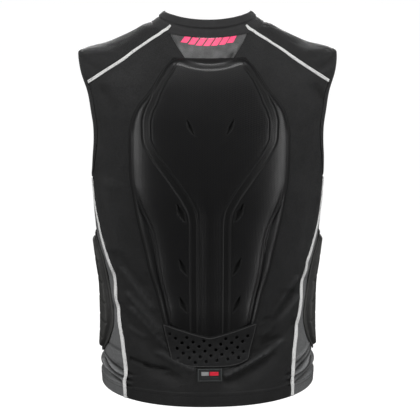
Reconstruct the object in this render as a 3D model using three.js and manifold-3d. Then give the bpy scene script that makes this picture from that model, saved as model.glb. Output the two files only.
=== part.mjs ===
// Protective vest: a sleeveless pull-on compression vest with a moulded back protector, standing as worn.
// Millimetres, +Z up. The back faces -Y, and +X is on the right when the vest is seen from behind.
// The origin lies midway between the two side points of the neck seam.

import * as THREE from "three";
import Module from "manifold-3d";
import { mergeVertices } from "three/addons/utils/BufferGeometryUtils.js";

// Sizes of the body of the vest
const BODY_LENGTH = 625;
const SHOULDER_DROP = 50;
const NECK_HALF_WIDTH = 90;
const SHOULDER_HALF_WIDTH = 212;
const CHEST_HALF_WIDTH = 194;
const BACK_DEPTH = 116;
const FRONT_DEPTH = 118;
const BACK_NECK_DROP = 21;
const FRONT_NECK_DROP = 65;
const SIDE_HEM_RISE = 16;
const CLOTH = 1.6;
const HEM_BAND = 24;
const HEM_EXTRA = 0.8;

// Sizes of the armholes and their turned edge
const ARMHOLE_BOTTOM = 250;
const ARMHOLE_HALF_DEPTH = 60;
const BINDING_WIDTH = 7;
const BINDING_EXTRA = 0.7;

// Sizes of the collar
const COLLAR_BACK_HEIGHT = 26;
const COLLAR_SIDE_HEIGHT = 18;
const COLLAR_THICKNESS = 3.2;
const COLLAR_LEAN = 0.19;
const COLLAR_ROUND = 1.06;

// Sizes of the grey mesh inset at the nape
const NAPE_TOP_HALF_WIDTH = 63;
const NAPE_FOOT_HALF_WIDTH = 24;
const NAPE_LENGTH = 52;

// Sizes of the piping
const SHOULDER_PIPING_DROP = 91;
const SHOULDER_PIPING_WIDTH = 5.4;
const SIDE_PIPING_WIDTH = 6.4;
const PIPING_HEIGHT = 1.6;

// Sizes of the back protector
const PAD_TOP = 35;
const PAD_SHARE_OF_BODY = 0.768;
const PAD_LENGTH = PAD_SHARE_OF_BODY * BODY_LENGTH;
const PAD_HALF_WIDTH = 128;
const PAD_HEIGHT = 16;
const PAD_EDGE = 2.6;
const PAD_TOP_ROLL = 16;
const PAD_FOOT_TAPER = 62;
const KEYHOLE_GROOVE_WIDTH = 9;
const KEYHOLE_GROOVE_DEPTH = 2.6;
const VENT_DEPTH = 7;

// Sizes of the perforated lumbar patch
const PATCH_LAP = 31;
const PATCH_TOP = PAD_TOP + PAD_LENGTH - PATCH_LAP;
const PATCH_LENGTH = 73;
const PATCH_TAPER = 1.2;
const PATCH_HALF_WIDTH = 73.5;
const PATCH_FOOT_HALF_WIDTH = 60.5;
const PATCH_THICKNESS = 2;
const PATCH_TOP_SAG = 24;
const PATCH_CORNER_RISE = 11;
const HOLE_DIAMETER = 4.5;
const HOLE_PITCH = 17.8;
const HOLE_TILT = THREE.MathUtils.degToRad(-6);
const HOLE_MARGIN = 6;

// Sizes of the rib pads on the sides
const RIB_PAD_TOP = 0.56 * BODY_LENGTH;
const RIB_PAD_LENGTH = 212;
const RIB_PAD_HALF_DEPTH = 55;
const RIB_PAD_HEIGHT = 9;
const RIB_PAD_EDGE = 3;

// Sizes of the label above the hem
const LABEL_BELOW_PATCH = 3;
const LABEL_HALF_WIDTH = 20;
const LABEL_LENGTH = 21;
const LABEL_TOP = PATCH_TOP + PATCH_LENGTH + LABEL_BELOW_PATCH;
const LABEL_THICKNESS = 1;

// Folds pulled in the cloth
const FOLD_HEIGHT = 5;
const FOLD_WIDTH = 20;
const FACE_FADE = 0.12;
const SIDE_FADE = 0.3;

// Clearances between neighbouring pieces
const SEAM_SLIT = 0.6;
const SEAT_GAP = 0.45;
const PAD_SEAT_GAP = 1.4;

// Shoulder line: how far down it is, as a share of SHOULDER_DROP, and how far out from neck to shoulder
const RIDGE = [
  { down: 0, out: 0 },
  { down: 0.1, out: 0.123 },
  { down: 0.26, out: 0.238 },
  { down: 0.46, out: 0.41 },
  { down: 0.66, out: 0.615 },
  { down: 0.84, out: 0.885 },
  { down: 1, out: 1 },
];

// Half widths below the shoulder, down as shares of BODY_LENGTH and wide as shares of CHEST_HALF_WIDTH
const GIRTH = [
  { down: 0.125, wide: 1.13 },
  { down: 0.166, wide: 1.112 },
  { down: 0.21, wide: 1.092 },
  { down: 0.253, wide: 1.066 },
  { down: 0.294, wide: 1.046 },
  { down: 0.339, wide: 1.026 },
  { down: 0.4, wide: 0.993 },
  { down: 0.469, wide: 0.985 },
  { down: 0.534, wide: 0.969 },
  { down: 0.624, wide: 0.938 },
  { down: 0.714, wide: 0.905 },
  { down: 0.8, wide: 0.902 },
  { down: 0.894, wide: 0.915 },
  { down: 0.96, wide: 0.933 },
  { down: 1, wide: 0.928 },
];

// Depths, squareness and neck drops, all as shares of the sizes that they are named after
const DEPTHS = [
  { down: 0, back: 0.552, front: 0.576, boxy: 2, backDrop: 1, frontDrop: 1, hemRise: 0 },
  { down: 0.032, back: 0.68, front: 0.66, boxy: 2.05, backDrop: 0.95, frontDrop: 0.95, hemRise: 0 },
  { down: 0.08, back: 0.81, front: 0.78, boxy: 2.15, backDrop: 0.8, frontDrop: 0.92, hemRise: 0 },
  { down: 0.165, back: 0.93, front: 0.905, boxy: 2.3, backDrop: 0.5, frontDrop: 0.68, hemRise: 0 },
  { down: 0.24, back: 0.985, front: 0.965, boxy: 2.4, backDrop: 0.27, frontDrop: 0.51, hemRise: 0 },
  { down: 0.32, back: 1, front: 1, boxy: 2.4, backDrop: 0.1, frontDrop: 0.34, hemRise: 0 },
  { down: 0.4, back: 0.987, front: 0.985, boxy: 2.4, backDrop: 0, frontDrop: 0.18, hemRise: 0 },
  { down: 0.5, back: 0.935, front: 0.945, boxy: 2.4, backDrop: 0, frontDrop: 0.05, hemRise: 0 },
  { down: 0.6, back: 0.885, front: 0.905, boxy: 2.4, backDrop: 0, frontDrop: 0, hemRise: 0 },
  { down: 0.7, back: 0.862, front: 0.89, boxy: 2.4, backDrop: 0, frontDrop: 0, hemRise: 0 },
  { down: 0.8, back: 0.888, front: 0.9, boxy: 2.4, backDrop: 0, frontDrop: 0, hemRise: 0.1 },
  { down: 0.9, back: 0.94, front: 0.94, boxy: 2.35, backDrop: 0, frontDrop: 0, hemRise: 0.45 },
  { down: 1, back: 0.974, front: 0.955, boxy: 2.3, backDrop: 0, frontDrop: 0, hemRise: 1 },
];
const DROP_EASE = 1.6;

// Shoulder seam, down as shares of SHOULDER_PIPING_DROP and out as shares of SHOULDER_HALF_WIDTH
const SHOULDER_SEAM = [
  { down: 0, out: 0.33 },
  { down: 0.22, out: 0.476 },
  { down: 0.495, out: 0.66 },
  { down: 1, out: 0.934 },
  { down: 1.3, out: 1.08 },
];

// Side seam, down as shares of BODY_LENGTH and out as shares of the half width there
const SIDE_SEAM = [
  { down: 0.39, out: 0.997 },
  { down: 0.48, out: 0.979 },
  { down: 0.542, out: 0.958 },
  { down: 0.603, out: 0.92 },
  { down: 0.65, out: 0.889 },
  { down: 0.72, out: 0.88 },
  { down: 0.797, out: 0.846 },
  { down: 0.85, out: 0.815 },
  { down: 0.9, out: 0.79 },
  { down: 0.96, out: 0.768 },
  { down: 1, out: 0.775 },
];

// Lines of the protector, down as shares of PAD_LENGTH and the rest as shares of PAD_HALF_WIDTH
const PAD_LINES = [
  { down: 0, edge: 0.4375, crease: 0.39, keyhole: 0.344 },
  { down: 0.023, edge: 0.523, crease: 0.485, keyhole: 0.441 },
  { down: 0.052, edge: 0.602, crease: 0.555, keyhole: 0.508 },
  { down: 0.091, edge: 0.68, crease: 0.633, keyhole: 0.594 },
  { down: 0.131, edge: 0.775, crease: 0.719, keyhole: 0.656 },
  { down: 0.159, edge: 0.854, crease: 0.781, keyhole: 0.691 },
  { down: 0.192, edge: 0.925, crease: 0.836, keyhole: 0.744 },
  { down: 0.233, edge: 0.974, crease: 0.879, keyhole: 0.773 },
  { down: 0.283, edge: 1, crease: 0.898, keyhole: 0.768 },
  { down: 0.339, edge: 1, crease: 0.906, keyhole: 0.68 },
  { down: 0.393, edge: 0.998, crease: 0.906, keyhole: 0.547 },
  { down: 0.447, edge: 0.985, crease: 0.902, keyhole: 0.414 },
  { down: 0.49, edge: 0.958, crease: 0.885, keyhole: 0.309 },
  { down: 0.544, edge: 0.93, crease: 0.82, keyhole: 0.219 },
  { down: 0.588, edge: 0.898, crease: 0.742, keyhole: 0.203 },
  { down: 0.632, edge: 0.862, crease: 0.691, keyhole: 0.203 },
  { down: 0.69, edge: 0.811, crease: 0.659, keyhole: 0.203 },
  { down: 0.75, edge: 0.767, crease: 0.629, keyhole: 0.203 },
  { down: 0.794, edge: 0.718, crease: 0.602, keyhole: 0.203 },
  { down: 0.842, edge: 0.666, crease: 0.559, keyhole: 0.2 },
  { down: 0.923, edge: 0.595, crease: 0.5, keyhole: 0.2 },
  { down: 1, edge: 0.508, crease: 0.445, keyhole: 0.2 },
];

// Leaning diamond vents: place and size as shares of PAD_HALF_WIDTH and PAD_LENGTH
const VENTS = [
  { down: 0.242, out: 0.244, wide: 0.022, tall: 0.065 },
  { down: 0.5375, out: 0.356, wide: 0.038, tall: 0.0735 },
  { down: 0.729, out: 0.333, wide: 0.034, tall: 0.069 },
  { down: 0.8635, out: 0.333, wide: 0.034, tall: 0.065 },
];
const VENT_LEAN = THREE.MathUtils.degToRad(23);

// Outline of a rib pad, down as shares of RIB_PAD_LENGTH and deep as shares of RIB_PAD_HALF_DEPTH
const RIB_PAD_LINES = [
  { down: 0, deep: 0.2 },
  { down: 0.07, deep: 0.52 },
  { down: 0.2, deep: 0.78 },
  { down: 0.41, deep: 0.86 },
  { down: 0.66, deep: 1 },
  { down: 0.82, deep: 0.88 },
  { down: 0.965, deep: 0.5 },
  { down: 1, deep: 0.3 },
];

// Folds: ends as shares of CHEST_HALF_WIDTH (or of BACK_DEPTH at the sides) and of BODY_LENGTH, and size as
// shares of FOLD_HEIGHT and FOLD_WIDTH. A negative height is a valley.
const BACK_FOLDS = [
  { from: -0.81, down0: 0.664, to: -0.39, down1: 0.864, high: -0.7, wide: 0.8 },
  { from: -0.77, down0: 0.75, to: -0.34, down1: 0.915, high: -0.7, wide: 0.7 },
  { from: -0.5, down0: 0.905, to: -0.3, down1: 0.925, high: -0.6, wide: 0.6 },
  { from: 0.8, down0: 0.68, to: 0.44, down1: 0.83, high: -0.7, wide: 0.8 },
  { from: 0.72, down0: 0.8, to: 0.26, down1: 0.94, high: -0.8, wide: 0.7 },
  { from: 0.54, down0: 0.875, to: 0.16, down1: 0.936, high: -0.7, wide: 0.6 },
  { from: 0.82, down0: 0.44, to: 0.8, down1: 0.6, high: 0.5, wide: 0.9 },
  { from: -0.83, down0: 0.42, to: -0.81, down1: 0.58, high: 0.5, wide: 0.9 },
];
const FRONT_FOLDS = [
  { from: -0.75, down0: 0.68, to: -0.2, down1: 0.86, high: 0.8, wide: 1 },
  { from: 0.75, down0: 0.66, to: 0.25, down1: 0.84, high: 0.8, wide: 1 },
  { from: -0.55, down0: 0.87, to: 0.1, down1: 0.93, high: -0.7, wide: 0.8 },
  { from: 0.62, down0: 0.33, to: 0.2, down1: 0.42, high: -0.5, wide: 1.1 },
  { from: -0.62, down0: 0.33, to: -0.22, down1: 0.42, high: -0.5, wide: 1.1 },
];
const SIDE_FOLDS = [
  { from: -0.6, down0: 0.915, to: 0.35, down1: 0.908, high: -0.5, wide: 0.35 },
  { from: -0.6, down0: 0.933, to: 0.45, down1: 0.927, high: 0.5, wide: 0.35 },
  { from: -0.6, down0: 0.951, to: 0.4, down1: 0.948, high: -0.5, wide: 0.35 },
];

// Finishes
const finish = (color, roughness) => new THREE.MeshStandardMaterial({ color, roughness });
const BLACK_JERSEY = () => finish(0x1b1c1e, 0.8);
const GREY_JERSEY = () => finish(0x6d6e71, 0.8);
const SILVER_PIPING = () => finish(0xd6d6d6, 0.45);
const MESH_FOAM = () => finish(0x232427, 0.65);
const PERFORATED_FOAM = () => finish(0x35363a, 0.7);
const RIB_FOAM = () => finish(0x17181a, 0.55);
const LABEL_WEAVE = () => finish(0x2b2b2d, 0.75);

const { lerp, clamp } = THREE.MathUtils;
const QUARTER_TURN = Math.PI / 2;

// Monotone cubic through a table's rows
function smooth(rows, key, down) {
  const last = rows.length - 1;
  const at = clamp(down, rows[0].down, rows[last].down);
  let i = 0;
  while (i < last - 1 && at > rows[i + 1].down) i += 1;
  const slope = (k) => (rows[k + 1][key] - rows[k][key]) / (rows[k + 1].down - rows[k].down);
  const tangent = (k) => {
    if (k === 0) return slope(0);
    if (k === last) return slope(last - 1);
    const [above, below] = [slope(k - 1), slope(k)];
    return above * below > 0 ? (2 * above * below) / (above + below) : 0;
  };
  const span = rows[i + 1].down - rows[i].down;
  const t = (at - rows[i].down) / span;
  const ease = t * t * (3 - 2 * t);
  const bend = span * t * (1 - t) * (tangent(i) * (1 - t) - tangent(i + 1) * t);
  return lerp(rows[i][key], rows[i + 1][key], ease) + bend;
}

// The value between low and high at which a rising function reaches zero
function crossing(rising, low, high) {
  const steps = 40;
  for (let k = 0; k < steps; k += 1) {
    const middle = (low + high) / 2;
    if (rising(middle) > 0) high = middle;
    else low = middle;
  }
  return (low + high) / 2;
}

// Form of the body: a rounded section at each height
const WIDTHS = [
  ...RIDGE.map((row) => ({
    down: row.down * SHOULDER_DROP,
    half: lerp(NECK_HALF_WIDTH, SHOULDER_HALF_WIDTH, row.out),
  })),
  ...GIRTH.map((row) => ({ down: row.down * BODY_LENGTH, half: row.wide * CHEST_HALF_WIDTH })),
];

function section(down, behind) {
  const share = down / BODY_LENGTH;
  return {
    half: smooth(WIDTHS, "half", down),
    boxy: smooth(DEPTHS, "boxy", share),
    depth: behind ? BACK_DEPTH * smooth(DEPTHS, "back", share) : FRONT_DEPTH * smooth(DEPTHS, "front", share),
    drop: behind
      ? BACK_NECK_DROP * smooth(DEPTHS, "backDrop", share)
      : FRONT_NECK_DROP * smooth(DEPTHS, "frontDrop", share),
    rise: SIDE_HEM_RISE * smooth(DEPTHS, "hemRise", share),
  };
}

// A point of the cloth's outer face. Around is 0 at the middle of the back and half a turn at the front.
function skin(around, down) {
  const behind = Math.abs(around) < QUARTER_TURN;
  const { half, boxy, depth, drop, rise } = section(down, behind);
  const out = Math.abs(Math.sin(around)) ** (2 / boxy);
  const off = Math.abs(Math.cos(around)) ** (2 / boxy);
  const middle = off ** DROP_EASE;
  const y = (behind ? -1 : 1) * depth * off;
  return new THREE.Vector3(Math.sign(around) * half * out, y, -down - drop * middle + rise * (1 - middle));
}

function outward(around, down) {
  const turn = 0.01;
  const step = 0.5;
  const sideways = skin(around + turn, down).sub(skin(around - turn, down));
  const downwards = skin(around, down + step).sub(skin(around, down - step));
  return downwards.cross(sideways).normalize();
}

function raised({ around, down }, height) {
  return skin(around, down).addScaledVector(outward(around, down), height);
}

// How far round from the middle of the back or front a distance from that middle is
function turnAtX(x, down, behind) {
  const { half, boxy } = section(down, behind);
  return Math.sign(x) * Math.asin(Math.min(1, Math.abs(x) / half) ** (boxy / 2));
}

const placeAtX = (x, down) => ({ around: turnAtX(x, down, true), down });

// The place on the right side of the body at a distance behind (minus) or before (plus) the side line
function placeAtY(y, down) {
  const { depth, boxy } = section(down, y < 0);
  const turn = Math.asin(Math.min(1, Math.abs(y) / depth) ** (boxy / 2));
  return { around: QUARTER_TURN + Math.sign(y) * turn, down };
}

const mirrored = (place) => ({ around: -place.around, down: place.down });

// How far the folds of one face lift the cloth at a spot
function foldHeight(folds, across, spanLength, down) {
  let height = 0;
  for (const fold of folds) {
    const from = new THREE.Vector2(fold.from * spanLength, fold.down0 * BODY_LENGTH);
    const along = new THREE.Vector2(fold.to * spanLength, fold.down1 * BODY_LENGTH).sub(from);
    const spot = new THREE.Vector2(across, down).sub(from);
    const share = clamp(spot.dot(along) / along.lengthSq(), 0, 1);
    const away = spot.sub(along.multiplyScalar(share)).length() / (fold.wide * FOLD_WIDTH);
    height += fold.high * FOLD_HEIGHT * Math.exp(-2 * away * away);
  }
  return height;
}

// How far the folds lift the cloth off the plain form, fading out where a face turns away
function foldLift({ around, down }) {
  const behind = Math.abs(around) < QUARTER_TURN;
  const { x, y } = skin(around, down);
  const { half, depth } = section(down, behind);
  const facing = clamp((1 - Math.abs(x) / half) / FACE_FADE, 0, 1);
  const beside = clamp((1 - Math.abs(y) / depth) / SIDE_FADE, 0, 1);
  const faceFolds = foldHeight(behind ? BACK_FOLDS : FRONT_FOLDS, x, CHEST_HALF_WIDTH, down);
  return faceFolds * facing + foldHeight(SIDE_FOLDS, y, BACK_DEPTH, down) * beside;
}

const isHemBand = (down) => down > BODY_LENGTH - HEM_BAND;
const clothHeight = (place) => foldLift(place) + (isHemBand(place.down) ? HEM_EXTRA : 0);
const innerFace = (place) => foldLift(place) - CLOTH;

// Seams and armholes, as turns from the middle of the back or front

const seamX = (down) => SHOULDER_HALF_WIDTH * smooth(SHOULDER_SEAM, "out", down / SHOULDER_PIPING_DROP);
const shoulderTurn = (down, behind) => turnAtX(seamX(down), down, behind);

function sideTurn(down, behind) {
  const { boxy } = section(down, behind);
  return Math.asin(smooth(SIDE_SEAM, "out", down / BODY_LENGTH) ** (boxy / 2));
}

const ridgeDown = (x) => crossing((down) => smooth(WIDTHS, "half", down) - x, 0, SHOULDER_DROP);

function armhole(margin) {
  const top = ridgeDown(SHOULDER_HALF_WIDTH - margin);
  const bottom = ARMHOLE_BOTTOM + margin;
  return { middle: (top + bottom) / 2, radius: (bottom - top) / 2, halfDepth: ARMHOLE_HALF_DEPTH + margin };
}

// A place on the armhole: angle 0 is at the shoulder, a quarter turn behind and half a turn at the bottom
function armholePlace(angle, margin) {
  const { middle, radius, halfDepth } = armhole(margin);
  return placeAtY(-halfDepth * Math.sin(angle), middle - radius * Math.cos(angle));
}

const PANEL_ARMHOLE = armhole(BINDING_WIDTH);

function armholeTurn(down, behind) {
  const { middle, radius, halfDepth } = PANEL_ARMHOLE;
  const share = (down - middle) / radius;
  if (Math.abs(share) >= 1) return QUARTER_TURN;
  const y = halfDepth * Math.sqrt(1 - share * share) * (behind ? -1 : 1);
  const { around } = placeAtY(y, down);
  return behind ? around : Math.PI - around;
}

// Where the shoulder seam and the side seam run into the armhole
function seamMeetsArmhole(behind) {
  const apart = (down) => shoulderTurn(down, behind) - armholeTurn(down, behind);
  return crossing(apart, SHOULDER_DROP, PANEL_ARMHOLE.middle);
}

function armholeMeetsSide(behind) {
  const { middle, radius } = PANEL_ARMHOLE;
  return crossing((down) => armholeTurn(down, behind) - sideTurn(down, behind), middle, middle + radius);
}

// Levels and angles at which the panels' edges have their corners, so that the turned edge follows them
const ARMHOLE_STEPS = 7;
const YOKE_STEPS = 4;
const SIDE_SHARES = [-1, -2 / 3, -1 / 3, 0, 1 / 3, 2 / 3, 1];
const angleAt = (down) => Math.acos(clamp((PANEL_ARMHOLE.middle - down) / PANEL_ARMHOLE.radius, -1, 1));
const levelAt = (angle) => PANEL_ARMHOLE.middle - PANEL_ARMHOLE.radius * Math.cos(angle);

function armholeAngles(behind) {
  return evenly(angleAt(seamMeetsArmhole(behind)), angleAt(armholeMeetsSide(behind)), ARMHOLE_STEPS);
}

const bodyEdge = (down, behind) =>
  Math.min(shoulderTurn(down, behind), armholeTurn(down, behind), sideTurn(down, behind));

// Mesh makers

function facingOut(points, faces) {
  let volume = 0;
  for (const [a, b, c] of faces) volume += points[a].dot(points[b].clone().cross(points[c]));
  const geometry = new THREE.BufferGeometry();
  const turned = volume > 0 ? faces : faces.map(([a, b, c]) => [a, c, b]);
  geometry.setAttribute("position", new THREE.Float32BufferAttribute(points.flatMap((p) => p.toArray()), 3));
  geometry.setIndex(turned.flat());
  return geometry;
}

// A closed shell over a grid of places, between a lower and an upper height
function shell(places, lower, upper) {
  const rows = places.length;
  const columns = places[0].length;
  const layer = (height) => places.flat().map((place) => raised(place, height(place)));
  const points = [...layer(upper), ...layer(lower)];
  const at = (face, row, column) => face * rows * columns + row * columns + column;
  const faces = [];
  const quad = (a, b, c, d) => faces.push([a, b, c], [a, c, d]);
  for (let row = 0; row < rows - 1; row += 1) {
    for (let column = 0; column < columns - 1; column += 1) {
      quad(at(0, row, column), at(0, row, column + 1), at(0, row + 1, column + 1), at(0, row + 1, column));
      quad(at(1, row, column), at(1, row + 1, column), at(1, row + 1, column + 1), at(1, row, column + 1));
    }
  }
  const rim = [];
  for (let column = 0; column < columns - 1; column += 1) rim.push([0, column]);
  for (let row = 0; row < rows - 1; row += 1) rim.push([row, columns - 1]);
  for (let column = columns - 1; column > 0; column -= 1) rim.push([rows - 1, column]);
  for (let row = rows - 1; row > 0; row -= 1) rim.push([row, 0]);
  rim.forEach(([row, column], k) => {
    const [nextRow, nextColumn] = rim[(k + 1) % rim.length];
    quad(at(0, row, column), at(1, row, column), at(1, nextRow, nextColumn), at(0, nextRow, nextColumn));
  });
  return facingOut(points, faces);
}

// A body through a row of equal sections, either closed round on itself or with flat ends
function loft(sections, isRing) {
  const count = sections[0].length;
  const points = sections.flat();
  const faces = [];
  const links = isRing ? sections.length : sections.length - 1;
  for (let step = 0; step < links; step += 1) {
    const here = step * count;
    const next = ((step + 1) % sections.length) * count;
    for (let k = 0; k < count; k += 1) {
      const l = (k + 1) % count;
      faces.push([here + k, here + l, next + l], [here + k, next + l, next + k]);
    }
  }
  if (!isRing) {
    const end = (sections.length - 1) * count;
    for (let k = 1; k < count - 1; k += 1) faces.push([0, k + 1, k], [end, end + k, end + k + 1]);
  }
  return facingOut(points, faces);
}

// A narrow strip through a row of places on the cloth, from a section of across and up distances
function strip(places, profile) {
  const last = places.length - 1;
  const sections = places.map((place, k) => {
    const up = outward(place.around, place.down);
    const [before, after] = [places[Math.max(0, k - 1)], places[Math.min(last, k + 1)]];
    const forward = skin(after.around, after.down).sub(skin(before.around, before.down));
    const across = forward.cross(up).normalize();
    const middle = raised(place, clothHeight(place) + SEAT_GAP);
    return profile.map(([a, u]) => middle.clone().addScaledVector(across, a).addScaledVector(up, u));
  });
  return loft(sections, false);
}

const evenly = (from, to, steps) => Array.from({ length: steps + 1 }, (_, k) => lerp(from, to, k / steps));
const joined = (...stretches) => stretches.flatMap((stretch, k) => (k === 0 ? stretch : stretch.slice(1)));

const vest = new THREE.Group();

function add(name, geometry, material) {
  const mesh = new THREE.Mesh(geometry, material);
  mesh.name = name;
  vest.add(mesh);
}

// Body panels

// Rows that the back, front and side panels share below the armhole, with a step at the hem band
const SIDE_FOLD_BAND = 36;
const LOWER_STEPS = 10;
const HEM_TOP = BODY_LENGTH - HEM_BAND;
const FOLD_TOP = HEM_TOP - SIDE_FOLD_BAND;
const FOLD_ROWS = [...evenly(FOLD_TOP, HEM_TOP - SEAM_SLIT, 3), HEM_TOP + SEAM_SLIT, BODY_LENGTH];
const lowerRows = (from) => joined(evenly(from, FOLD_TOP, LOWER_STEPS), FOLD_ROWS);

// Rows that the back or front panel shares with the shoulder panel along their seam
const SEAM_STEPS = 8;
const seamRows = (behind) => evenly(SEAM_SLIT, seamMeetsArmhole(behind), SEAM_STEPS);

function edgeAt(share, down, behind) {
  const x = skin(bodyEdge(down, behind), down).x - SEAM_SLIT / 2;
  return share * turnAtX(x, down, behind);
}

const napeX = (down) => lerp(NAPE_TOP_HALF_WIDTH, NAPE_FOOT_HALF_WIDTH, down / NAPE_LENGTH);

function backPanel() {
  const widest = napeX(0) + SEAM_SLIT / 2;
  const narrowest = napeX(NAPE_LENGTH) + SEAM_SLIT / 2;
  const topShare = turnAtX(widest, SEAM_SLIT, true) / edgeAt(1, SEAM_SLIT, true);
  const footShare = turnAtX(narrowest, NAPE_LENGTH, true) / edgeAt(1, NAPE_LENGTH, true);
  const half = joined(evenly(0, footShare, 2), evenly(footShare, topShare, 5), evenly(topShare, 1, 2));
  const shares = [...half.slice(1).map((share) => -share).reverse(), ...half];
  const outside = (share, down) => skin(edgeAt(share, down, true), down).x - napeX(down) - SEAM_SLIT / 2;
  const topOf = (share) => {
    const isBesideInset = share > topShare * 0.999;
    if (isBesideInset) return SEAM_SLIT;
    const below = share <= footShare ? SEAM_SLIT : 0;
    return below + crossing((down) => outside(share, down), SEAM_SLIT, NAPE_LENGTH);
  };
  const seam = seamRows(true);
  const napeEnd = seam.findIndex((down) => down > NAPE_LENGTH + BINDING_WIDTH / 2);
  const upper = evenly(0, 1, napeEnd).map((t) =>
    shares.map((share) => lerp(topOf(Math.abs(share)), seam[napeEnd], t)),
  );
  const lower = lowerRows(armholeMeetsSide(true));
  const rows = joined(seam.slice(napeEnd), armholeAngles(true).map(levelAt), lower);
  const downs = [...upper, ...rows.slice(1).map((down) => shares.map(() => down))];
  const places = downs.map((row) => row.map((down, k) => ({ around: edgeAt(shares[k], down, true), down })));
  return shell(places, innerFace, clothHeight);
}

function frontPanel() {
  const shares = evenly(-1, 1, 10);
  const lower = lowerRows(armholeMeetsSide(false));
  const rows = joined(seamRows(false), armholeAngles(false).map(levelAt), lower);
  const places = rows.map((down) =>
    shares.map((share) => ({ around: Math.PI - edgeAt(share, down, false), down })),
  );
  return shell(places.map((row) => row.map(unwrapped)), innerFace, clothHeight);
}

// An angle past half a turn is the same place on the other side
const unwrapped = ({ around, down }) => ({ around: around > Math.PI ? around - 2 * Math.PI : around, down });

function sideAround(share, down) {
  const behind = share < 0;
  const x = skin(sideTurn(down, behind), down).x + SEAM_SLIT / 2;
  return QUARTER_TURN + share * (QUARTER_TURN - turnAtX(x, down, behind));
}

// Where a column of the side panel comes out from under the armhole
function sideTop(share) {
  const { middle, radius, halfDepth } = PANEL_ARMHOLE;
  const outside = (down) => {
    const { y } = skin(sideAround(share, down), down);
    return ((down - middle) / radius) ** 2 + (y / halfDepth) ** 2 - 1;
  };
  return crossing(outside, middle, middle + radius);
}

function sidePanel() {
  const tops = SIDE_SHARES.map(sideTop);
  const upper = evenly(0, 1, LOWER_STEPS).map((t) => tops.map((top) => lerp(top, FOLD_TOP, t)));
  const lower = FOLD_ROWS.slice(1).map((down) => tops.map(() => down));
  return [...upper, ...lower].map((row) =>
    row.map((down, k) => ({ around: sideAround(SIDE_SHARES[k], down), down })),
  );
}

// The panel over one shoulder, from the back seam over the ridge to the front seam
function shoulderYoke() {
  const ends = [true, false].map((behind) => {
    const rows = seamRows(behind);
    return { rows, angle: angleAt(rows[rows.length - 1]), behind };
  });
  const placeAt = (share, row) => {
    const end = share < 0 ? ends[0] : ends[1];
    const seamDown = end.rows[row];
    const out = row / (end.rows.length - 1);
    const ridge = ridgeDown(lerp(NECK_HALF_WIDTH + 2, SHOULDER_HALF_WIDTH - BINDING_WIDTH, out));
    const seamTurn = turnAtX(seamX(seamDown) + SEAM_SLIT / 2, seamDown, end.behind);
    const seamY = Math.abs(skin(end.behind ? seamTurn : Math.PI - seamTurn, seamDown).y);
    const fan = Math.abs(share) * end.angle;
    const y = Math.sign(share) * seamY * (Math.sin(fan) / Math.sin(end.angle));
    return placeAtY(y, lerp(ridge, seamDown, (1 - Math.cos(fan)) / (1 - Math.cos(end.angle))));
  };
  const shares = evenly(-1, 1, 2 * YOKE_STEPS);
  return ends[0].rows.map((_, row) => shares.map((share) => placeAt(share, row)));
}

function napeYoke() {
  const downs = evenly(SEAM_SLIT, NAPE_LENGTH - SEAM_SLIT, 4);
  const places = downs.map((down) =>
    evenly(-1, 1, 8).map((share) => placeAtX(share * (napeX(down) - SEAM_SLIT / 2), down)),
  );
  return shell(places, innerFace, foldLift);
}

// Edges: collar, armhole bindings and piping

function collar() {
  const steps = 36;
  const profile = [
    { up: 0, in: 0 }, { up: 0.45, in: 0 }, { up: 1, in: 0 }, { up: COLLAR_ROUND, in: 0.5 },
    { up: 1, in: 1 }, { up: 0.45, in: 1 }, { up: 0, in: 1 },
  ];
  const sections = [];
  for (let step = 0; step < steps; step += 1) {
    const around = lerp(-Math.PI, Math.PI, (step + 0.5) / steps);
    const foot = skin(around, 0);
    const radial = new THREE.Vector3(foot.x, foot.y, 0).normalize();
    const height = lerp(COLLAR_SIDE_HEIGHT, COLLAR_BACK_HEIGHT, Math.cos(around) ** 2);
    sections.push(
      profile.map((row) => {
        const lean = 1 - COLLAR_LEAN * row.up ** 0.8;
        const point = new THREE.Vector3(foot.x * lean, foot.y * lean, foot.z + SEAT_GAP + height * row.up);
        return point.addScaledVector(radial, -COLLAR_THICKNESS * row.in);
      }),
    );
  }
  return loft(sections, true);
}

// Angles round the armhole, from the shoulder down behind and up again in front
function bindingAngles() {
  const [behind, before] = [true, false].map((isBehind) => {
    const shares = SIDE_SHARES.filter((share) => (isBehind ? share <= 0 : share >= 0));
    const side = (isBehind ? shares : shares.reverse()).map((share) => angleAt(sideTop(share)));
    const edge = armholeAngles(isBehind);
    return joined(evenly(0, edge[0], YOKE_STEPS), edge, side);
  });
  return [...behind, ...before.slice(1, -1).reverse().map((angle) => 2 * Math.PI - angle)];
}

function binding(side) {
  const low = -CLOTH - BINDING_EXTRA;
  const profile = [
    { margin: 0, height: (low + BINDING_EXTRA) / 2 },
    { margin: 1, height: BINDING_EXTRA },
    { margin: BINDING_WIDTH - SEAM_SLIT, height: BINDING_EXTRA },
    { margin: BINDING_WIDTH - SEAM_SLIT, height: low },
    { margin: 1, height: low },
  ];
  const sections = [];
  for (const angle of bindingAngles()) {
    sections.push(
      profile.map((row) => {
        const place = armholePlace(angle, row.margin);
        return raised(side > 0 ? place : mirrored(place), row.height);
      }),
    );
  }
  return loft(sections, true);
}

function shoulderPiping(side) {
  const half = SHOULDER_PIPING_WIDTH / 2;
  const groove = [0, PIPING_HEIGHT * 0.55];
  const profile = [
    groove, [-half * 0.5, PIPING_HEIGHT], [-half, PIPING_HEIGHT * 0.4], [-half * 0.8, 0],
    [half * 0.8, 0], [half, PIPING_HEIGHT * 0.4], [half * 0.5, PIPING_HEIGHT],
  ];
  const rows = seamRows(true);
  rows[0] += SEAM_SLIT;
  rows[rows.length - 1] -= SEAM_SLIT * 2;
  return strip(rows.map((down) => placeAtX(side * seamX(down), down)), profile);
}

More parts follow.
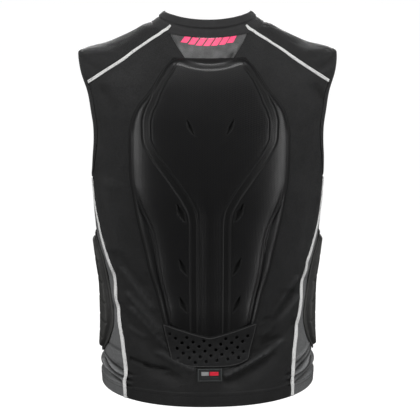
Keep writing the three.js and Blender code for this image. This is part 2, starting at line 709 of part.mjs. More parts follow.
function sidePiping(side) {
  const half = SIDE_PIPING_WIDTH / 2;
  const profile = [
    [-half, PIPING_HEIGHT * 0.3], [-half * 0.8, 0], [half * 0.8, 0],
    [half, PIPING_HEIGHT * 0.3], [half * 0.6, PIPING_HEIGHT], [-half * 0.6, PIPING_HEIGHT],
  ];
  const rows = lowerRows(armholeMeetsSide(true));
  rows[0] += half + SEAM_SLIT;
  return strip(rows.map((down) => ({ around: side * sideTurn(down, true), down })), profile);
}

// Protector, patch, rib pads and label

function padLine(key, down) {
  return PAD_HALF_WIDTH * smooth(PAD_LINES, key, (down - PAD_TOP) / PAD_LENGTH);
}

const padBottom = PAD_TOP + PAD_LENGTH;

// How much of its full height the protector has at a level, from its rolled top to its thin foot
function padFullness(down) {
  const rise = Math.sqrt(clamp((down - PAD_TOP) / PAD_TOP_ROLL, 0, 1));
  const fall = Math.sin(QUARTER_TURN * clamp((padBottom - down) / PAD_FOOT_TAPER, 0, 1));
  return Math.min(rise, fall);
}

function padHeight(down, high) {
  return PAD_SEAT_GAP + PAD_EDGE + (PAD_HEIGHT - PAD_EDGE) * high * padFullness(down);
}

// Ribs of the protector's section from the middle outwards: distance from the middle and height share
function padRibs(down) {
  const [edge, crease, keyhole] = ["edge", "crease", "keyhole"].map((key) => padLine(key, down));
  const groove = KEYHOLE_GROOVE_WIDTH / 2;
  return [
    { x: 0, high: 1 },
    { x: (keyhole - groove) / 3, high: 0.99 },
    { x: (2 * (keyhole - groove)) / 3, high: 0.97 },
    { x: keyhole - groove, high: 0.93 },
    { x: keyhole, high: 0.92 - KEYHOLE_GROOVE_DEPTH / PAD_HEIGHT },
    { x: keyhole + groove, high: 0.92 },
    { x: (keyhole + groove + crease) / 2, high: 0.88 },
    { x: crease, high: 0.72 },
    { x: (crease + edge) / 2, high: 0.45 },
    { x: edge, high: 0 },
  ];
}

function backProtector() {
  const downs = joined(
    evenly(PAD_TOP, PAD_TOP + PAD_TOP_ROLL, 3),
    evenly(PAD_TOP + PAD_TOP_ROLL, padBottom - PAD_FOOT_TAPER, 14),
    evenly(padBottom - PAD_FOOT_TAPER, padBottom, 4),
  );
  const heights = new Map();
  const places = downs.map((down) => {
    const right = padRibs(down);
    const ribs = [...right.slice(1).map(({ x, high }) => ({ x: -x, high })).reverse(), ...right];
    return ribs.map(({ x, high }) => {
      const place = placeAtX(x, down);
      heights.set(place, padHeight(down, high));
      return place;
    });
  });
  const body = shell(places, () => PAD_SEAT_GAP, (place) => heights.get(place));
  let solid = toSolid(body);
  for (const side of [-1, 1]) {
    for (const row of VENTS) solid = solid.subtract(toSolid(ventCutter(side, row)));
  }
  return fromSolid(solid);
}

// A diamond prism that reaches VENT_DEPTH into the protector
function ventCutter(side, { down, out, wide, tall }) {
  const place = placeAtX(side * out * PAD_HALF_WIDTH, PAD_TOP + down * PAD_LENGTH);
  const [halfWide, halfTall] = [wide * PAD_HALF_WIDTH, (tall * PAD_LENGTH) / 2];
  const diamond = new THREE.Shape([
    new THREE.Vector2(-halfWide, 0), new THREE.Vector2(0, -halfTall),
    new THREE.Vector2(halfWide, 0), new THREE.Vector2(0, halfTall),
  ]);
  const prism = new THREE.ExtrudeGeometry(diamond, { depth: 2 * VENT_DEPTH, bevelEnabled: false });
  prism.translate(0, 0, -VENT_DEPTH);
  prism.rotateZ(-side * VENT_LEAN);
  return seated(prism, place, PAD_HEIGHT * 0.92);
}

// Turns a shape that lies in the XY plane so that its Z points out of the cloth at a place
function seated(geometry, place, height) {
  const out = outward(place.around, place.down);
  const across = new THREE.Vector3(0, 0, 1).cross(out).normalize();
  const up = out.clone().cross(across);
  const frame = new THREE.Matrix4().makeBasis(across, up, out).setPosition(raised(place, height));
  return geometry.applyMatrix4(frame);
}

function patchHalfWidth(down) {
  const share = clamp((down - PATCH_TOP) / PATCH_LENGTH, 0, 1);
  return lerp(PATCH_HALF_WIDTH, PATCH_FOOT_HALF_WIDTH, share ** PATCH_TAPER);
}

const patchTop = (share) => PATCH_TOP + PATCH_TOP_SAG * (1 - Math.abs(share) ** PATCH_TAPER);
const patchBottom = (share) => PATCH_TOP + PATCH_LENGTH - PATCH_CORNER_RISE * share ** 4;

// The patch lies over the protector's foot and comes down onto the cloth below it
function patchSeat({ down }) {
  const below = clamp((down - padBottom) / HOLE_PITCH, 0, 1);
  return padHeight(Math.min(down, padBottom), 1) * (1 - below) + SEAT_GAP;
}

function lumbarPatch() {
  const places = evenly(0, 1, 4).map((t) =>
    evenly(-1, 1, 12).map((share) => {
      const down = lerp(patchTop(share), patchBottom(share), t);
      return placeAtX(share * patchHalfWidth(down), down);
    }),
  );
  const upper = (place) => patchSeat(place) + PATCH_THICKNESS;
  let solid = toSolid(shell(places, patchSeat, upper));
  const rowPitch = HOLE_PITCH / 2;
  const radius = HOLE_DIAMETER / 2;
  const middle = PATCH_TOP + PATCH_LENGTH / 2;
  const reach = Math.ceil(PATCH_HALF_WIDTH / rowPitch);
  for (let row = -reach; row <= reach; row += 1) {
    for (let column = -reach; column <= reach; column += 1) {
      const [u, v] = [(column + (row % 2) / 2) * HOLE_PITCH, row * rowPitch];
      const x = u * Math.cos(HOLE_TILT) - v * Math.sin(HOLE_TILT);
      const down = middle + u * Math.sin(HOLE_TILT) + v * Math.cos(HOLE_TILT);
      const share = x / patchHalfWidth(down);
      const insideSides = Math.abs(x) < patchHalfWidth(down) - HOLE_MARGIN;
      if (insideSides && down > patchTop(share) + HOLE_MARGIN && down < patchBottom(share) - HOLE_MARGIN) {
        const punch = new THREE.CylinderGeometry(radius, radius, 6 * PATCH_THICKNESS, 6);
        punch.rotateX(QUARTER_TURN);
        const place = placeAtX(x, down);
        solid = solid.subtract(toSolid(seated(punch, place, patchSeat(place) + PATCH_THICKNESS / 2)));
      }
    }
  }
  return fromSolid(solid);
}

function ribPad(side) {
  const downs = joined(evenly(0, 0.07, 1), evenly(0.07, 0.9, 9), evenly(0.9, 1, 2));
  const heights = new Map();
  const ribs = [-1, -0.84, -0.4, 0, 0.4, 0.84, 1];
  const places = downs.map((share) => {
    const down = RIB_PAD_TOP + share * RIB_PAD_LENGTH;
    const halfDepth = RIB_PAD_HALF_DEPTH * smooth(RIB_PAD_LINES, "deep", share);
    const isEnd = share === 0 || share === 1;
    return ribs.map((rib) => {
      const place = placeAtY(rib * halfDepth, down);
      const full = isEnd || Math.abs(rib) === 1 ? 0 : rib === 0 ? 0.75 : 1;
      const seat = side > 0 ? place : mirrored(place);
      heights.set(seat, RIB_PAD_EDGE + (RIB_PAD_HEIGHT - RIB_PAD_EDGE) * full);
      return seat;
    });
  });
  return shell(places, () => PAD_SEAT_GAP, (place) => heights.get(place));
}

function hemLabel() {
  const places = evenly(LABEL_TOP, LABEL_TOP + LABEL_LENGTH, 3).map((down) =>
    evenly(-LABEL_HALF_WIDTH, LABEL_HALF_WIDTH, 6).map((x) => placeAtX(x, down)),
  );
  const seat = (place) => clothHeight(place) + SEAT_GAP;
  return shell(places, seat, (place) => seat(place) + LABEL_THICKNESS);
}

// Boolean cuts

const wasm = await Module();
wasm.setup();

function toSolid(geometry) {
  const plain = geometry.clone();
  plain.deleteAttribute("normal");
  plain.deleteAttribute("uv");
  const merged = mergeVertices(plain);
  const vertProperties = new Float32Array(merged.attributes.position.array);
  const triVerts = new Uint32Array(merged.index.array);
  return new wasm.Manifold(new wasm.Mesh({ numProp: 3, vertProperties, triVerts }));
}

function fromSolid(solid) {
  const mesh = solid.getMesh();
  const geometry = new THREE.BufferGeometry();
  geometry.setAttribute("position", new THREE.BufferAttribute(new Float32Array(mesh.vertProperties), 3));
  geometry.setIndex(new THREE.BufferAttribute(new Uint32Array(mesh.triVerts), 1));
  return geometry;
}

// Assembly

add("back_panel", backPanel(), BLACK_JERSEY());
add("front_panel", frontPanel(), BLACK_JERSEY());
add("nape_yoke", napeYoke(), GREY_JERSEY());
add("collar", collar(), BLACK_JERSEY());
for (const [name, side] of [["left", -1], ["right", 1]]) {
  const onSide = (places) => (side > 0 ? places : places.map((row) => row.map(mirrored)));
  add(`shoulder_yoke_${name}`, shell(onSide(shoulderYoke()), innerFace, foldLift), BLACK_JERSEY());
  add(`side_panel_${name}`, shell(onSide(sidePanel()), innerFace, clothHeight), GREY_JERSEY());
  add(`armhole_binding_${name}`, binding(side), BLACK_JERSEY());
  add(`shoulder_piping_${name}`, shoulderPiping(side), SILVER_PIPING());
  add(`side_piping_${name}`, sidePiping(side), SILVER_PIPING());
  add(`rib_pad_${name}`, ribPad(side), RIB_FOAM());
}
add("back_protector", backProtector(), MESH_FOAM());
add("lumbar_patch", lumbarPatch(), PERFORATED_FOAM());
add("hem_label", hemLabel(), LABEL_WEAVE());

export default vest;
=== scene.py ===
"""A protective vest with a moulded back protector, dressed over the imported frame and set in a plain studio."""

import logging
import math
from dataclasses import dataclass, field
from enum import Enum
from typing import Callable, Iterable, Sequence

import bmesh
import bpy
import numpy as np
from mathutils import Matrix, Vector
from mathutils.geometry import delaunay_2d_cdt

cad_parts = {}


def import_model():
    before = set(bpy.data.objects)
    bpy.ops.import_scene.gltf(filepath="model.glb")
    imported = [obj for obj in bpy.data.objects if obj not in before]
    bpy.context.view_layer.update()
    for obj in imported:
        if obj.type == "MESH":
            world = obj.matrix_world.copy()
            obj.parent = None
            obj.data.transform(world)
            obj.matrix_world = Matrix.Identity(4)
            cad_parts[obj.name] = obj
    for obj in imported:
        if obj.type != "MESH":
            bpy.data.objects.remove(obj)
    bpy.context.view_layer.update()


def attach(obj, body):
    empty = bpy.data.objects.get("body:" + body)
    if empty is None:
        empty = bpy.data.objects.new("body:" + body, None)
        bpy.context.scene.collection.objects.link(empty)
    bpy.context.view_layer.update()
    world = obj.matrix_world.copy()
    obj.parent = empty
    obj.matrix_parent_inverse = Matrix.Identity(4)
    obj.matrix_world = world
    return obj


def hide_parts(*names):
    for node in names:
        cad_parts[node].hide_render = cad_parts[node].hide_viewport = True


LOG = logging.getLogger("vest")
MM = 0.001
QUARTER = math.pi / 2

Grid = np.ndarray
Colour = tuple[float, float, float]
Piece = bpy.types.Object
Socket = bpy.types.NodeSocket


class Side(Enum):
    """The wearer's sides as they are seen from behind."""

    LEFT = -1
    RIGHT = 1

    @property
    def word(self) -> str:
        """The side in lower case, as it ends a piece's name."""
        return self.name.lower()


class Slot(Enum):
    """The record's material slots."""

    BLACK_JERSEY = "black_jersey"
    GREY_JERSEY = "grey_jersey"
    GREY_MESH = "grey_mesh"
    RIB_KNIT = "rib_knit"
    SILVER_PIPING = "silver_piping"
    PAD_MESH = "pad_mesh"
    PERFORATED_FOAM = "perforated_foam"
    MOULDED_FOAM = "moulded_foam"
    LABEL_WEAVE = "label_weave"


# Numbers and lines


def evenly(start: float, stop: float, steps: int) -> np.ndarray:
    """Evenly spaced values from start to stop, both of them in."""
    return np.linspace(start, stop, steps + 1)


def joined(*stretches: np.ndarray) -> np.ndarray:
    """Stretches of values that share their ends, as one row."""
    return np.concatenate([stretches[0], *[stretch[1:] for stretch in stretches[1:]]])


def ease(low: float, high: float, value: Grid) -> Grid:
    """A smooth step from 0 at low to 1 at high."""
    share = np.clip((value - low) / (high - low), 0, 1)
    return share * share * (3 - 2 * share)


def bump(distance: Grid, wide: float) -> Grid:
    """A rounded ridge of height 1 whose half width is wide."""
    return np.exp(-((distance / wide) ** 2))


def crossing(rising: Callable[[Grid], Grid], low: Grid, high: Grid) -> Grid:
    """Where a rising function reaches zero.

    Args:
        rising: A function of one value, or of an array of them.
        low: Where it is below zero.
        high: Where it is above zero.

    Returns:
        The crossing, of the same shape as low and high.
    """
    low, high = np.array(low, dtype=float), np.array(high, dtype=float)
    for _ in range(40):
        middle = (low + high) / 2
        above = rising(middle) > 0
        high = np.where(above, middle, high)
        low = np.where(above, low, middle)
    return (low + high) / 2


class Line:
    """A smooth line through a table's rows that doesn't overshoot them."""

    def __init__(self, rows: Sequence[tuple[float, float]]) -> None:
        """Keeps the rows and works out the slope at each.

        Args:
            rows: Pairs of a place and the value there, in rising order of place.
        """
        self.at, self.value = (np.array(column, dtype=float) for column in zip(*rows))
        slope = np.diff(self.value) / np.diff(self.at)
        above, below = slope[:-1], slope[1:]
        alike = above * below > 0
        mean = 2 * above * below / np.where(alike, above + below, 1)
        self.tangent = np.concatenate([slope[:1], np.where(alike, mean, 0), slope[-1:]])

    def __call__(self, place: Grid) -> Grid:
        """The value at a place, held at the first and last row beyond them."""
        place = np.clip(place, self.at[0], self.at[-1])
        row = np.clip(np.searchsorted(self.at, place, side="right") - 1, 0, len(self.at) - 2)
        span = self.at[row + 1] - self.at[row]
        t = (place - self.at[row]) / span
        level = self.value[row] + (self.value[row + 1] - self.value[row]) * t * t * (3 - 2 * t)
        return level + span * t * (1 - t) * (self.tangent[row] * (1 - t) - self.tangent[row + 1] * t)


def scaled(rows: Iterable[tuple[float, ...]], place: float, value: float, column: int = 1) -> Line:
    """A line from a table of shares.

    Args:
        rows: The table's rows, with the place first.
        place: What the places are shares of.
        value: What the values are shares of.
        column: The column that holds the values.

    Returns:
        The line in millimetres.
    """
    return Line([(row[0] * place, row[column] * value) for row in rows])


# Form of the body


@dataclass(frozen=True)
class Crease:
    """A pull line in the cloth, in millimetres: a ridge, or a valley where high is below zero."""

    across: float
    down: float
    to_across: float
    to_down: float
    high: float
    wide: float

    def lift(self, across: Grid, down: Grid) -> Grid:
        """How far the line lifts the cloth at each place."""
        along = np.array([self.to_across - self.across, self.to_down - self.down])
        spot = np.stack([across - self.across, down - self.down])
        share = np.clip(np.tensordot(along, spot, 1) / along.dot(along), 0, 1)
        away = np.hypot(spot[0] - along[0] * share, spot[1] - along[1] * share) / self.wide
        return self.high * np.exp(-2 * away**2)


def lifted(creases: Sequence[Crease], across: Grid, down: Grid) -> Grid:
    """The sum of some creases at each place."""
    total = np.zeros(np.broadcast(across, down).shape)
    for crease in creases:
        total = total + crease.lift(across, down)
    return total


# Broad folds that the solids have too
BACK_FOLDS = (
    Crease(-157, 415, -76, 540, -3.5, 16),
    Crease(-149, 469, -66, 572, -3.5, 14),
    Crease(-97, 566, -58, 578, -3, 12),
    Crease(155, 425, 85, 519, -3.5, 16),
    Crease(140, 500, 50, 587, -4, 14),
    Crease(105, 547, 31, 585, -3.5, 12),
    Crease(159, 275, 155, 375, 2.5, 18),
    Crease(-161, 262, -157, 362, 2.5, 18),
)
FRONT_FOLDS = (
    Crease(-145, 425, -39, 537, 4, 20),
    Crease(145, 412, 48, 525, 4, 20),
    Crease(-107, 544, 19, 581, -3.5, 16),
    Crease(120, 206, 39, 262, -2.5, 22),
    Crease(-120, 206, -43, 262, -2.5, 22),
)
SIDE_FOLDS = (
    Crease(-70, 572, 41, 567, -2.5, 7),
    Crease(-70, 583, 52, 579, 2.5, 7),
    Crease(-70, 594, 46, 592, -2.5, 7),
)

# Finer pull lines: from behind, then the shoulders, the nape and the gathers at the hem's sides
BACK_PULLS = (
    Crease(-142, 398, -92, 462, 3.2, 5.8),
    Crease(-133, 442, -78, 500, 3.7, 5.8),
    Crease(-128, 466, -66, 527, 3.4, 5),
    Crease(-132, 499, -110, 511, 2.4, 4.3),
    Crease(-129, 553, -103, 560, -3.4, 4.3),
    Crease(-106, 560, -74, 565, -5.3, 4.3),
    Crease(-84, 536, -28, 561, 3.4, 6.5),
    Crease(-150, 375, -108, 424, -1.3, 9),
    Crease(120, 522, 92, 541, 3.9, 5.8),
    Crease(95, 539, 27, 572, 5.1, 5.8),
    Crease(108, 517, 40, 556, -4.4, 6.5),
    Crease(138, 441, 88, 524, -3.4, 7.9),
    Crease(124, 438, 94, 482, -2.9, 6.5),
    Crease(146, 418, 98, 476, 3.1, 6.5),
    Crease(147, 454, 92, 508, 3.4, 5.8),
    Crease(-168, 96, -150, 124, -1.5, 9),
    Crease(170, 92, 186, 118, -1.8, 8),
    Crease(158, 300, 146, 392, 1.1, 9),
    Crease(-156, 296, -146, 386, 1.1, 9),
)
FRONT_PULLS = (
    Crease(-150, 240, -96, 268, 1.2, 9),
    Crease(150, 240, 96, 268, 1.2, 9),
    Crease(-140, 500, -70, 560, -1.6, 10),
    Crease(140, 500, 78, 566, -1.6, 10),
    Crease(-36, 88, 30, 104, -1.2, 12),
)
PLEATS = {
    Side.LEFT: (
        Crease(-84, 580, -24, 561, -3, 2.8),
        Crease(-84, 591, -24, 571, -3.2, 2.8),
        Crease(-84, 602, -30, 582, -2.6, 2.8),
        Crease(-84, 585.5, -26, 566, 1.6, 3.4),
        Crease(-84, 596.5, -26, 576.5, 1.6, 3.4),
        Crease(-76, 544, -40, 537, -1.2, 4),
    ),
    Side.RIGHT: (
        Crease(-84, 584, -28, 558, -3.2, 3),
        Crease(-84, 595, -24, 572, -3, 2.8),
        Crease(-80, 572, -34, 548, -2.2, 3.2),
        Crease(-84, 589.5, -26, 565, 1.8, 3.6),
        Crease(-70, 560, -30, 540, 1.4, 4),
        Crease(-84, 604, -40, 588, -1.8, 3),
    ),
}


@dataclass(frozen=True)
class BodyForm:
    """The rounded form that the cloth is pulled over, in millimetres.

    A place on it is a turn round the body and a distance down from the neck. The turn is 0 at the
    middle of the back, a quarter at the right side and a half at the middle of the front.
    """

    length: float = 625
    shoulder_drop: float = 50
    neck_half_width: float = 90
    shoulder_half_width: float = 212
    chest_half_width: float = 194
    back_depth: float = 116
    front_depth: float = 118
    back_neck_drop: float = 21
    front_neck_drop: float = 65
    side_hem_rise: float = 16
    drop_ease: float = 1.6
    cloth: float = 1.6
    hem_band: float = 24
    hem_extra: float = 0.8
    ridge: tuple = ((0, 0), (0.1, 0.123), (0.26, 0.238), (0.46, 0.41), (0.66, 0.615), (0.84, 0.885), (1, 1))
    girth: tuple = (
        (0.125, 1.13), (0.166, 1.112), (0.21, 1.092), (0.253, 1.066), (0.294, 1.046),
        (0.339, 1.026), (0.4, 0.993), (0.469, 0.985), (0.534, 0.969), (0.624, 0.938),
        (0.714, 0.905), (0.8, 0.902), (0.894, 0.915), (0.96, 0.933), (1, 0.928),
    )
    # Down, back depth, front depth, squareness, back drop, front drop and rise at the hem's sides
    depths: tuple = (
        (0, 0.552, 0.576, 2, 1, 1, 0),
        (0.032, 0.68, 0.66, 2.05, 0.95, 0.95, 0),
        (0.08, 0.81, 0.78, 2.15, 0.8, 0.92, 0),
        (0.165, 0.93, 0.905, 2.3, 0.5, 0.68, 0),
        (0.24, 0.985, 0.965, 2.4, 0.27, 0.51, 0),
        (0.32, 1, 1, 2.4, 0.1, 0.34, 0),
        (0.4, 0.987, 0.985, 2.4, 0, 0.18, 0),
        (0.5, 0.935, 0.945, 2.4, 0, 0.05, 0),
        (0.6, 0.885, 0.905, 2.4, 0, 0, 0),
        (0.7, 0.862, 0.89, 2.4, 0, 0, 0),
        (0.8, 0.888, 0.9, 2.4, 0, 0, 0.1),
        (0.9, 0.94, 0.94, 2.35, 0, 0, 0.45),
        (1, 0.974, 0.955, 2.3, 0, 0, 1),
    )
    lines: dict = field(default_factory=dict)

    def __post_init__(self) -> None:
        """Turns the tables into smooth lines."""
        reach = self.shoulder_half_width - self.neck_half_width
        shoulder = [(down * self.shoulder_drop, self.neck_half_width + out * reach) for down, out in self.ridge]
        sides = [(down * self.length, wide * self.chest_half_width) for down, wide in self.girth]
        self.lines["half"] = Line(shoulder + sides)
        names = ("back", "front", "boxy", "back_drop", "front_drop", "rise")
        sizes = (
            self.back_depth, self.front_depth, 1, self.back_neck_drop, self.front_neck_drop, self.side_hem_rise,
        )
        for column, (name, size) in enumerate(zip(names, sizes), start=1):
            self.lines[name] = scaled(self.depths, self.length, size, column)

    def half(self, down: Grid) -> Grid:
        """Half the width at a level."""
        return self.lines["half"](down)

    def depth(self, down: Grid, behind: Grid) -> Grid:
        """How far the back or the front stands from the side line."""
        return np.where(behind, self.lines["back"](down), self.lines["front"](down))

    def skin(self, around: Grid, down: Grid) -> Grid:
        """The points of the cloth's plain outer face.

        Args:
            around: Turns round the body, in radians.
            down: Distances down from the neck.

        Returns:
            An array with x, y and z in its last axis, in millimetres.
        """
        around, down = np.broadcast_arrays(around, down)
        behind = np.cos(around) > 0
        boxy = self.lines["boxy"](down)
        out = np.abs(np.sin(around)) ** (2 / boxy)
        off = np.abs(np.cos(around)) ** (2 / boxy)
        drop = np.where(behind, self.lines["back_drop"](down), self.lines["front_drop"](down))
        middle = off**self.drop_ease
        x = np.sign(np.sin(around)) * self.half(down) * out
        y = np.where(behind, -1, 1) * self.depth(down, behind) * off
        z = -down - drop * middle + self.lines["rise"](down) * (1 - middle)
        return np.stack([x, y, z], axis=-1)

    def outward(self, around: Grid, down: Grid) -> Grid:
        """Unit vectors that point out of the cloth."""
        turn, step = 0.01, 0.5
        sideways = self.skin(around + turn, down) - self.skin(around - turn, down)
        downwards = self.skin(around, down + step) - self.skin(around, down - step)
        out = np.cross(downwards, sideways)
        return out / np.linalg.norm(out, axis=-1, keepdims=True)

    def raised(self, around: Grid, down: Grid, height: Grid) -> Grid:
        """The points at a height over the plain outer face."""
        height = np.broadcast_to(height, np.broadcast(around, down).shape)
        return self.skin(around, down) + self.outward(around, down) * height[..., None]

    def turn_at_x(self, x: Grid, down: Grid) -> Grid:
        """How far round from the middle a distance from that middle is."""
        share = np.minimum(1, np.abs(x) / self.half(down))
        return np.sign(x) * np.arcsin(share ** (self.lines["boxy"](down) / 2))

    def turn_at_y(self, y: Grid, down: Grid) -> Grid:
        """The turn on the right side at a distance behind (minus) or before (plus) the side line."""
        share = np.minimum(1, np.abs(y) / self.depth(down, y < 0))
        return QUARTER + np.sign(y) * np.arcsin(share ** (self.lines["boxy"](down) / 2))

    def lift(self, around: Grid, down: Grid, pleats: bool = True, broad: bool = True) -> Grid:
        """How far the folds lift the cloth off the plain form.

        Args:
            around: Turns round the body.
            down: Distances down.
            pleats: Whether the small gathers at the hem's sides are in it.
            broad: Whether the broad folds that the solids have too are in it.

        Returns:
            Heights in millimetres.
        """
        point = self.skin(around, down)
        behind = np.cos(around) > 0
        x, y = point[..., 0], point[..., 1]
        facing = np.clip((1 - np.abs(x) / self.half(down)) / 0.12, 0, 1)
        beside = np.clip((1 - np.abs(y) / self.depth(down, behind)) / 0.3, 0, 1)
        back = lifted(BACK_PULLS + BACK_FOLDS * broad, x, down)
        front = lifted(FRONT_PULLS + FRONT_FOLDS * broad, x, down)
        total = np.where(behind, back, front) * facing + lifted(SIDE_FOLDS * broad, y, down) * beside
        if pleats:
            left, right = (lifted(PLEATS[side], y, down) for side in Side)
            total = total + np.where(x < 0, left, right) * beside
        return total

    def ridge_down(self, x: Grid) -> Grid:
        """The level at which the shoulder line is a distance out."""
        x = np.asarray(x, dtype=float)
        return crossing(lambda down: self.half(down) - x, np.zeros_like(x), np.full_like(x, self.shoulder_drop))


@dataclass(frozen=True)
class Pattern:
    """The cut of the vest: where its seams and armholes run on the body form."""

    body: BodyForm = field(default_factory=BodyForm)
    armhole_bottom: float = 250
    armhole_half_depth: float = 60
    binding_width: float = 7
    seam_slit: float = 0.3
    yoke_seam_drop: float = 91
    nape_top: float = 63
    nape_foot: float = 24
    nape_length: float = 52
    yoke_rows: tuple = ((0, 0.33), (0.22, 0.476), (0.495, 0.66), (1, 0.934), (1.3, 1.08))
    side_rows: tuple = (
        (0.39, 0.997), (0.48, 0.979), (0.542, 0.958), (0.603, 0.92), (0.65, 0.889), (0.72, 0.88),
        (0.797, 0.846), (0.85, 0.815), (0.9, 0.79), (0.96, 0.768), (1, 0.775),
    )
    lines: dict = field(default_factory=dict)

    def __post_init__(self) -> None:
        """Turns the tables into smooth lines."""
        self.lines["yoke"] = scaled(self.yoke_rows, self.yoke_seam_drop, self.body.shoulder_half_width)
        self.lines["side"] = scaled(self.side_rows, self.body.length, 1)

    def armhole(self, margin: float) -> tuple[float, float, float]:
        """The middle, radius and half depth of the armhole with a margin round it."""
        top = float(self.body.ridge_down(self.body.shoulder_half_width - margin))
        bottom = self.armhole_bottom + margin
        return (top + bottom) / 2, (bottom - top) / 2, self.armhole_half_depth + margin

    def armhole_place(self, angle: Grid, margin: Grid) -> tuple[Grid, Grid]:
        """Turns and levels on the right armhole's edge, from the shoulder down behind and round."""
        top = self.body.ridge_down(self.body.shoulder_half_width - margin)
        bottom = self.armhole_bottom + margin
        down = (top + bottom) / 2 - (bottom - top) / 2 * np.cos(angle)
        return self.body.turn_at_y(-(self.armhole_half_depth + margin) * np.sin(angle), down), down

    def yoke_turn(self, down: Grid) -> Grid:
        """How far round the shoulder seam is."""
        return self.body.turn_at_x(self.lines["yoke"](down), down)

    def side_turn(self, down: Grid) -> Grid:
        """How far round the side seam is."""
        return np.arcsin(self.lines["side"](down) ** (self.body.lines["boxy"](down) / 2))

    def armhole_turn(self, down: Grid, behind: bool) -> Grid:
        """How far round the armhole's edge is, or a quarter turn where there is none."""
        middle, radius, half_depth = self.armhole(self.binding_width)
        share = np.clip((down - middle) / radius, -1, 1)
        y = half_depth * np.sqrt(1 - share**2) * (-1 if behind else 1)
        turn = self.body.turn_at_y(y, down)
        return np.where(np.abs(share) < 1, turn if behind else math.pi - turn, QUARTER)

    def seam_meets_armhole(self, behind: bool) -> float:
        """The level at which the shoulder seam runs into the armhole."""
        middle, _, _ = self.armhole(self.binding_width)
        apart = lambda down: self.yoke_turn(down) - self.armhole_turn(down, behind)  # noqa: E731
        return float(crossing(apart, self.body.shoulder_drop, middle))

    def armhole_meets_side(self, behind: bool) -> float:
        """The level at which the armhole runs into the side seam."""
        middle, radius, _ = self.armhole(self.binding_width)
        apart = lambda down: self.armhole_turn(down, behind) - self.side_turn(down)  # noqa: E731
        return float(crossing(apart, middle, middle + radius))

    def body_edge(self, down: Grid, behind: bool) -> Grid:
        """How far round the back or front panel reaches."""
        seams = np.minimum(self.yoke_turn(down), self.side_turn(down))
        return np.minimum(seams, self.armhole_turn(down, behind))

    def edge_at(self, share: Grid, down: Grid, behind: bool) -> Grid:
        """The turn at a share of the way from the panel's middle to its edge."""
        x = self.body.skin(self.body_edge(down, behind), down)[..., 0] - self.seam_slit / 2
        return share * self.body.turn_at_x(x, down)

    def nape_x(self, down: Grid) -> Grid:
        """Half the width of the nape's inset at a level."""
        return self.nape_top + (self.nape_foot - self.nape_top) * down / self.nape_length


# Meshes


def grid_faces(rows: int, columns: int, first: int = 0, ring: bool = False) -> np.ndarray:
    """The four-cornered faces of a grid of points.

    Args:
        rows: How many rows of points.
        columns: How many points a row.
        first: The number of the grid's first point.
        ring: Whether the last column joins the first.

    Returns:
        An array of four point numbers a face.
    """
    across = columns if ring else columns - 1
    row, column = np.meshgrid(np.arange(rows - 1), np.arange(across), indexing="ij")
    beside = (column + 1) % columns
    corners = [row * columns + column, row * columns + beside, (row + 1) * columns + beside, (row + 1) * columns + column]
    return np.stack(corners, axis=-1).reshape(-1, 4) + first


def rim_loop(rows: int, columns: int) -> np.ndarray:
    """The point numbers round the outside of a grid."""
    numbers = np.arange(rows * columns).reshape(rows, columns)
    return np.concatenate([numbers[0, :-1], numbers[:-1, -1], numbers[-1, :0:-1], numbers[:0:-1, 0]])


def shell_faces(rows: int, columns: int, first: int = 0) -> np.ndarray:
    """The faces of a closed sheet: an outer grid of points, an inner grid after it, and the rim between them.

    Args:
        rows: How many rows of points each grid has.
        columns: How many points a row.
        first: The number of the outer grid's first point.

    Returns:
        An array of four point numbers a face.
    """
    count, loop = rows * columns, rim_loop(rows, columns)
    beside = np.roll(loop, -1)
    rim = np.stack([beside, loop, loop + count, beside + count], axis=-1)
    return np.concatenate([grid_faces(rows, columns), grid_faces(rows, columns, count)[:, ::-1], rim]) + first


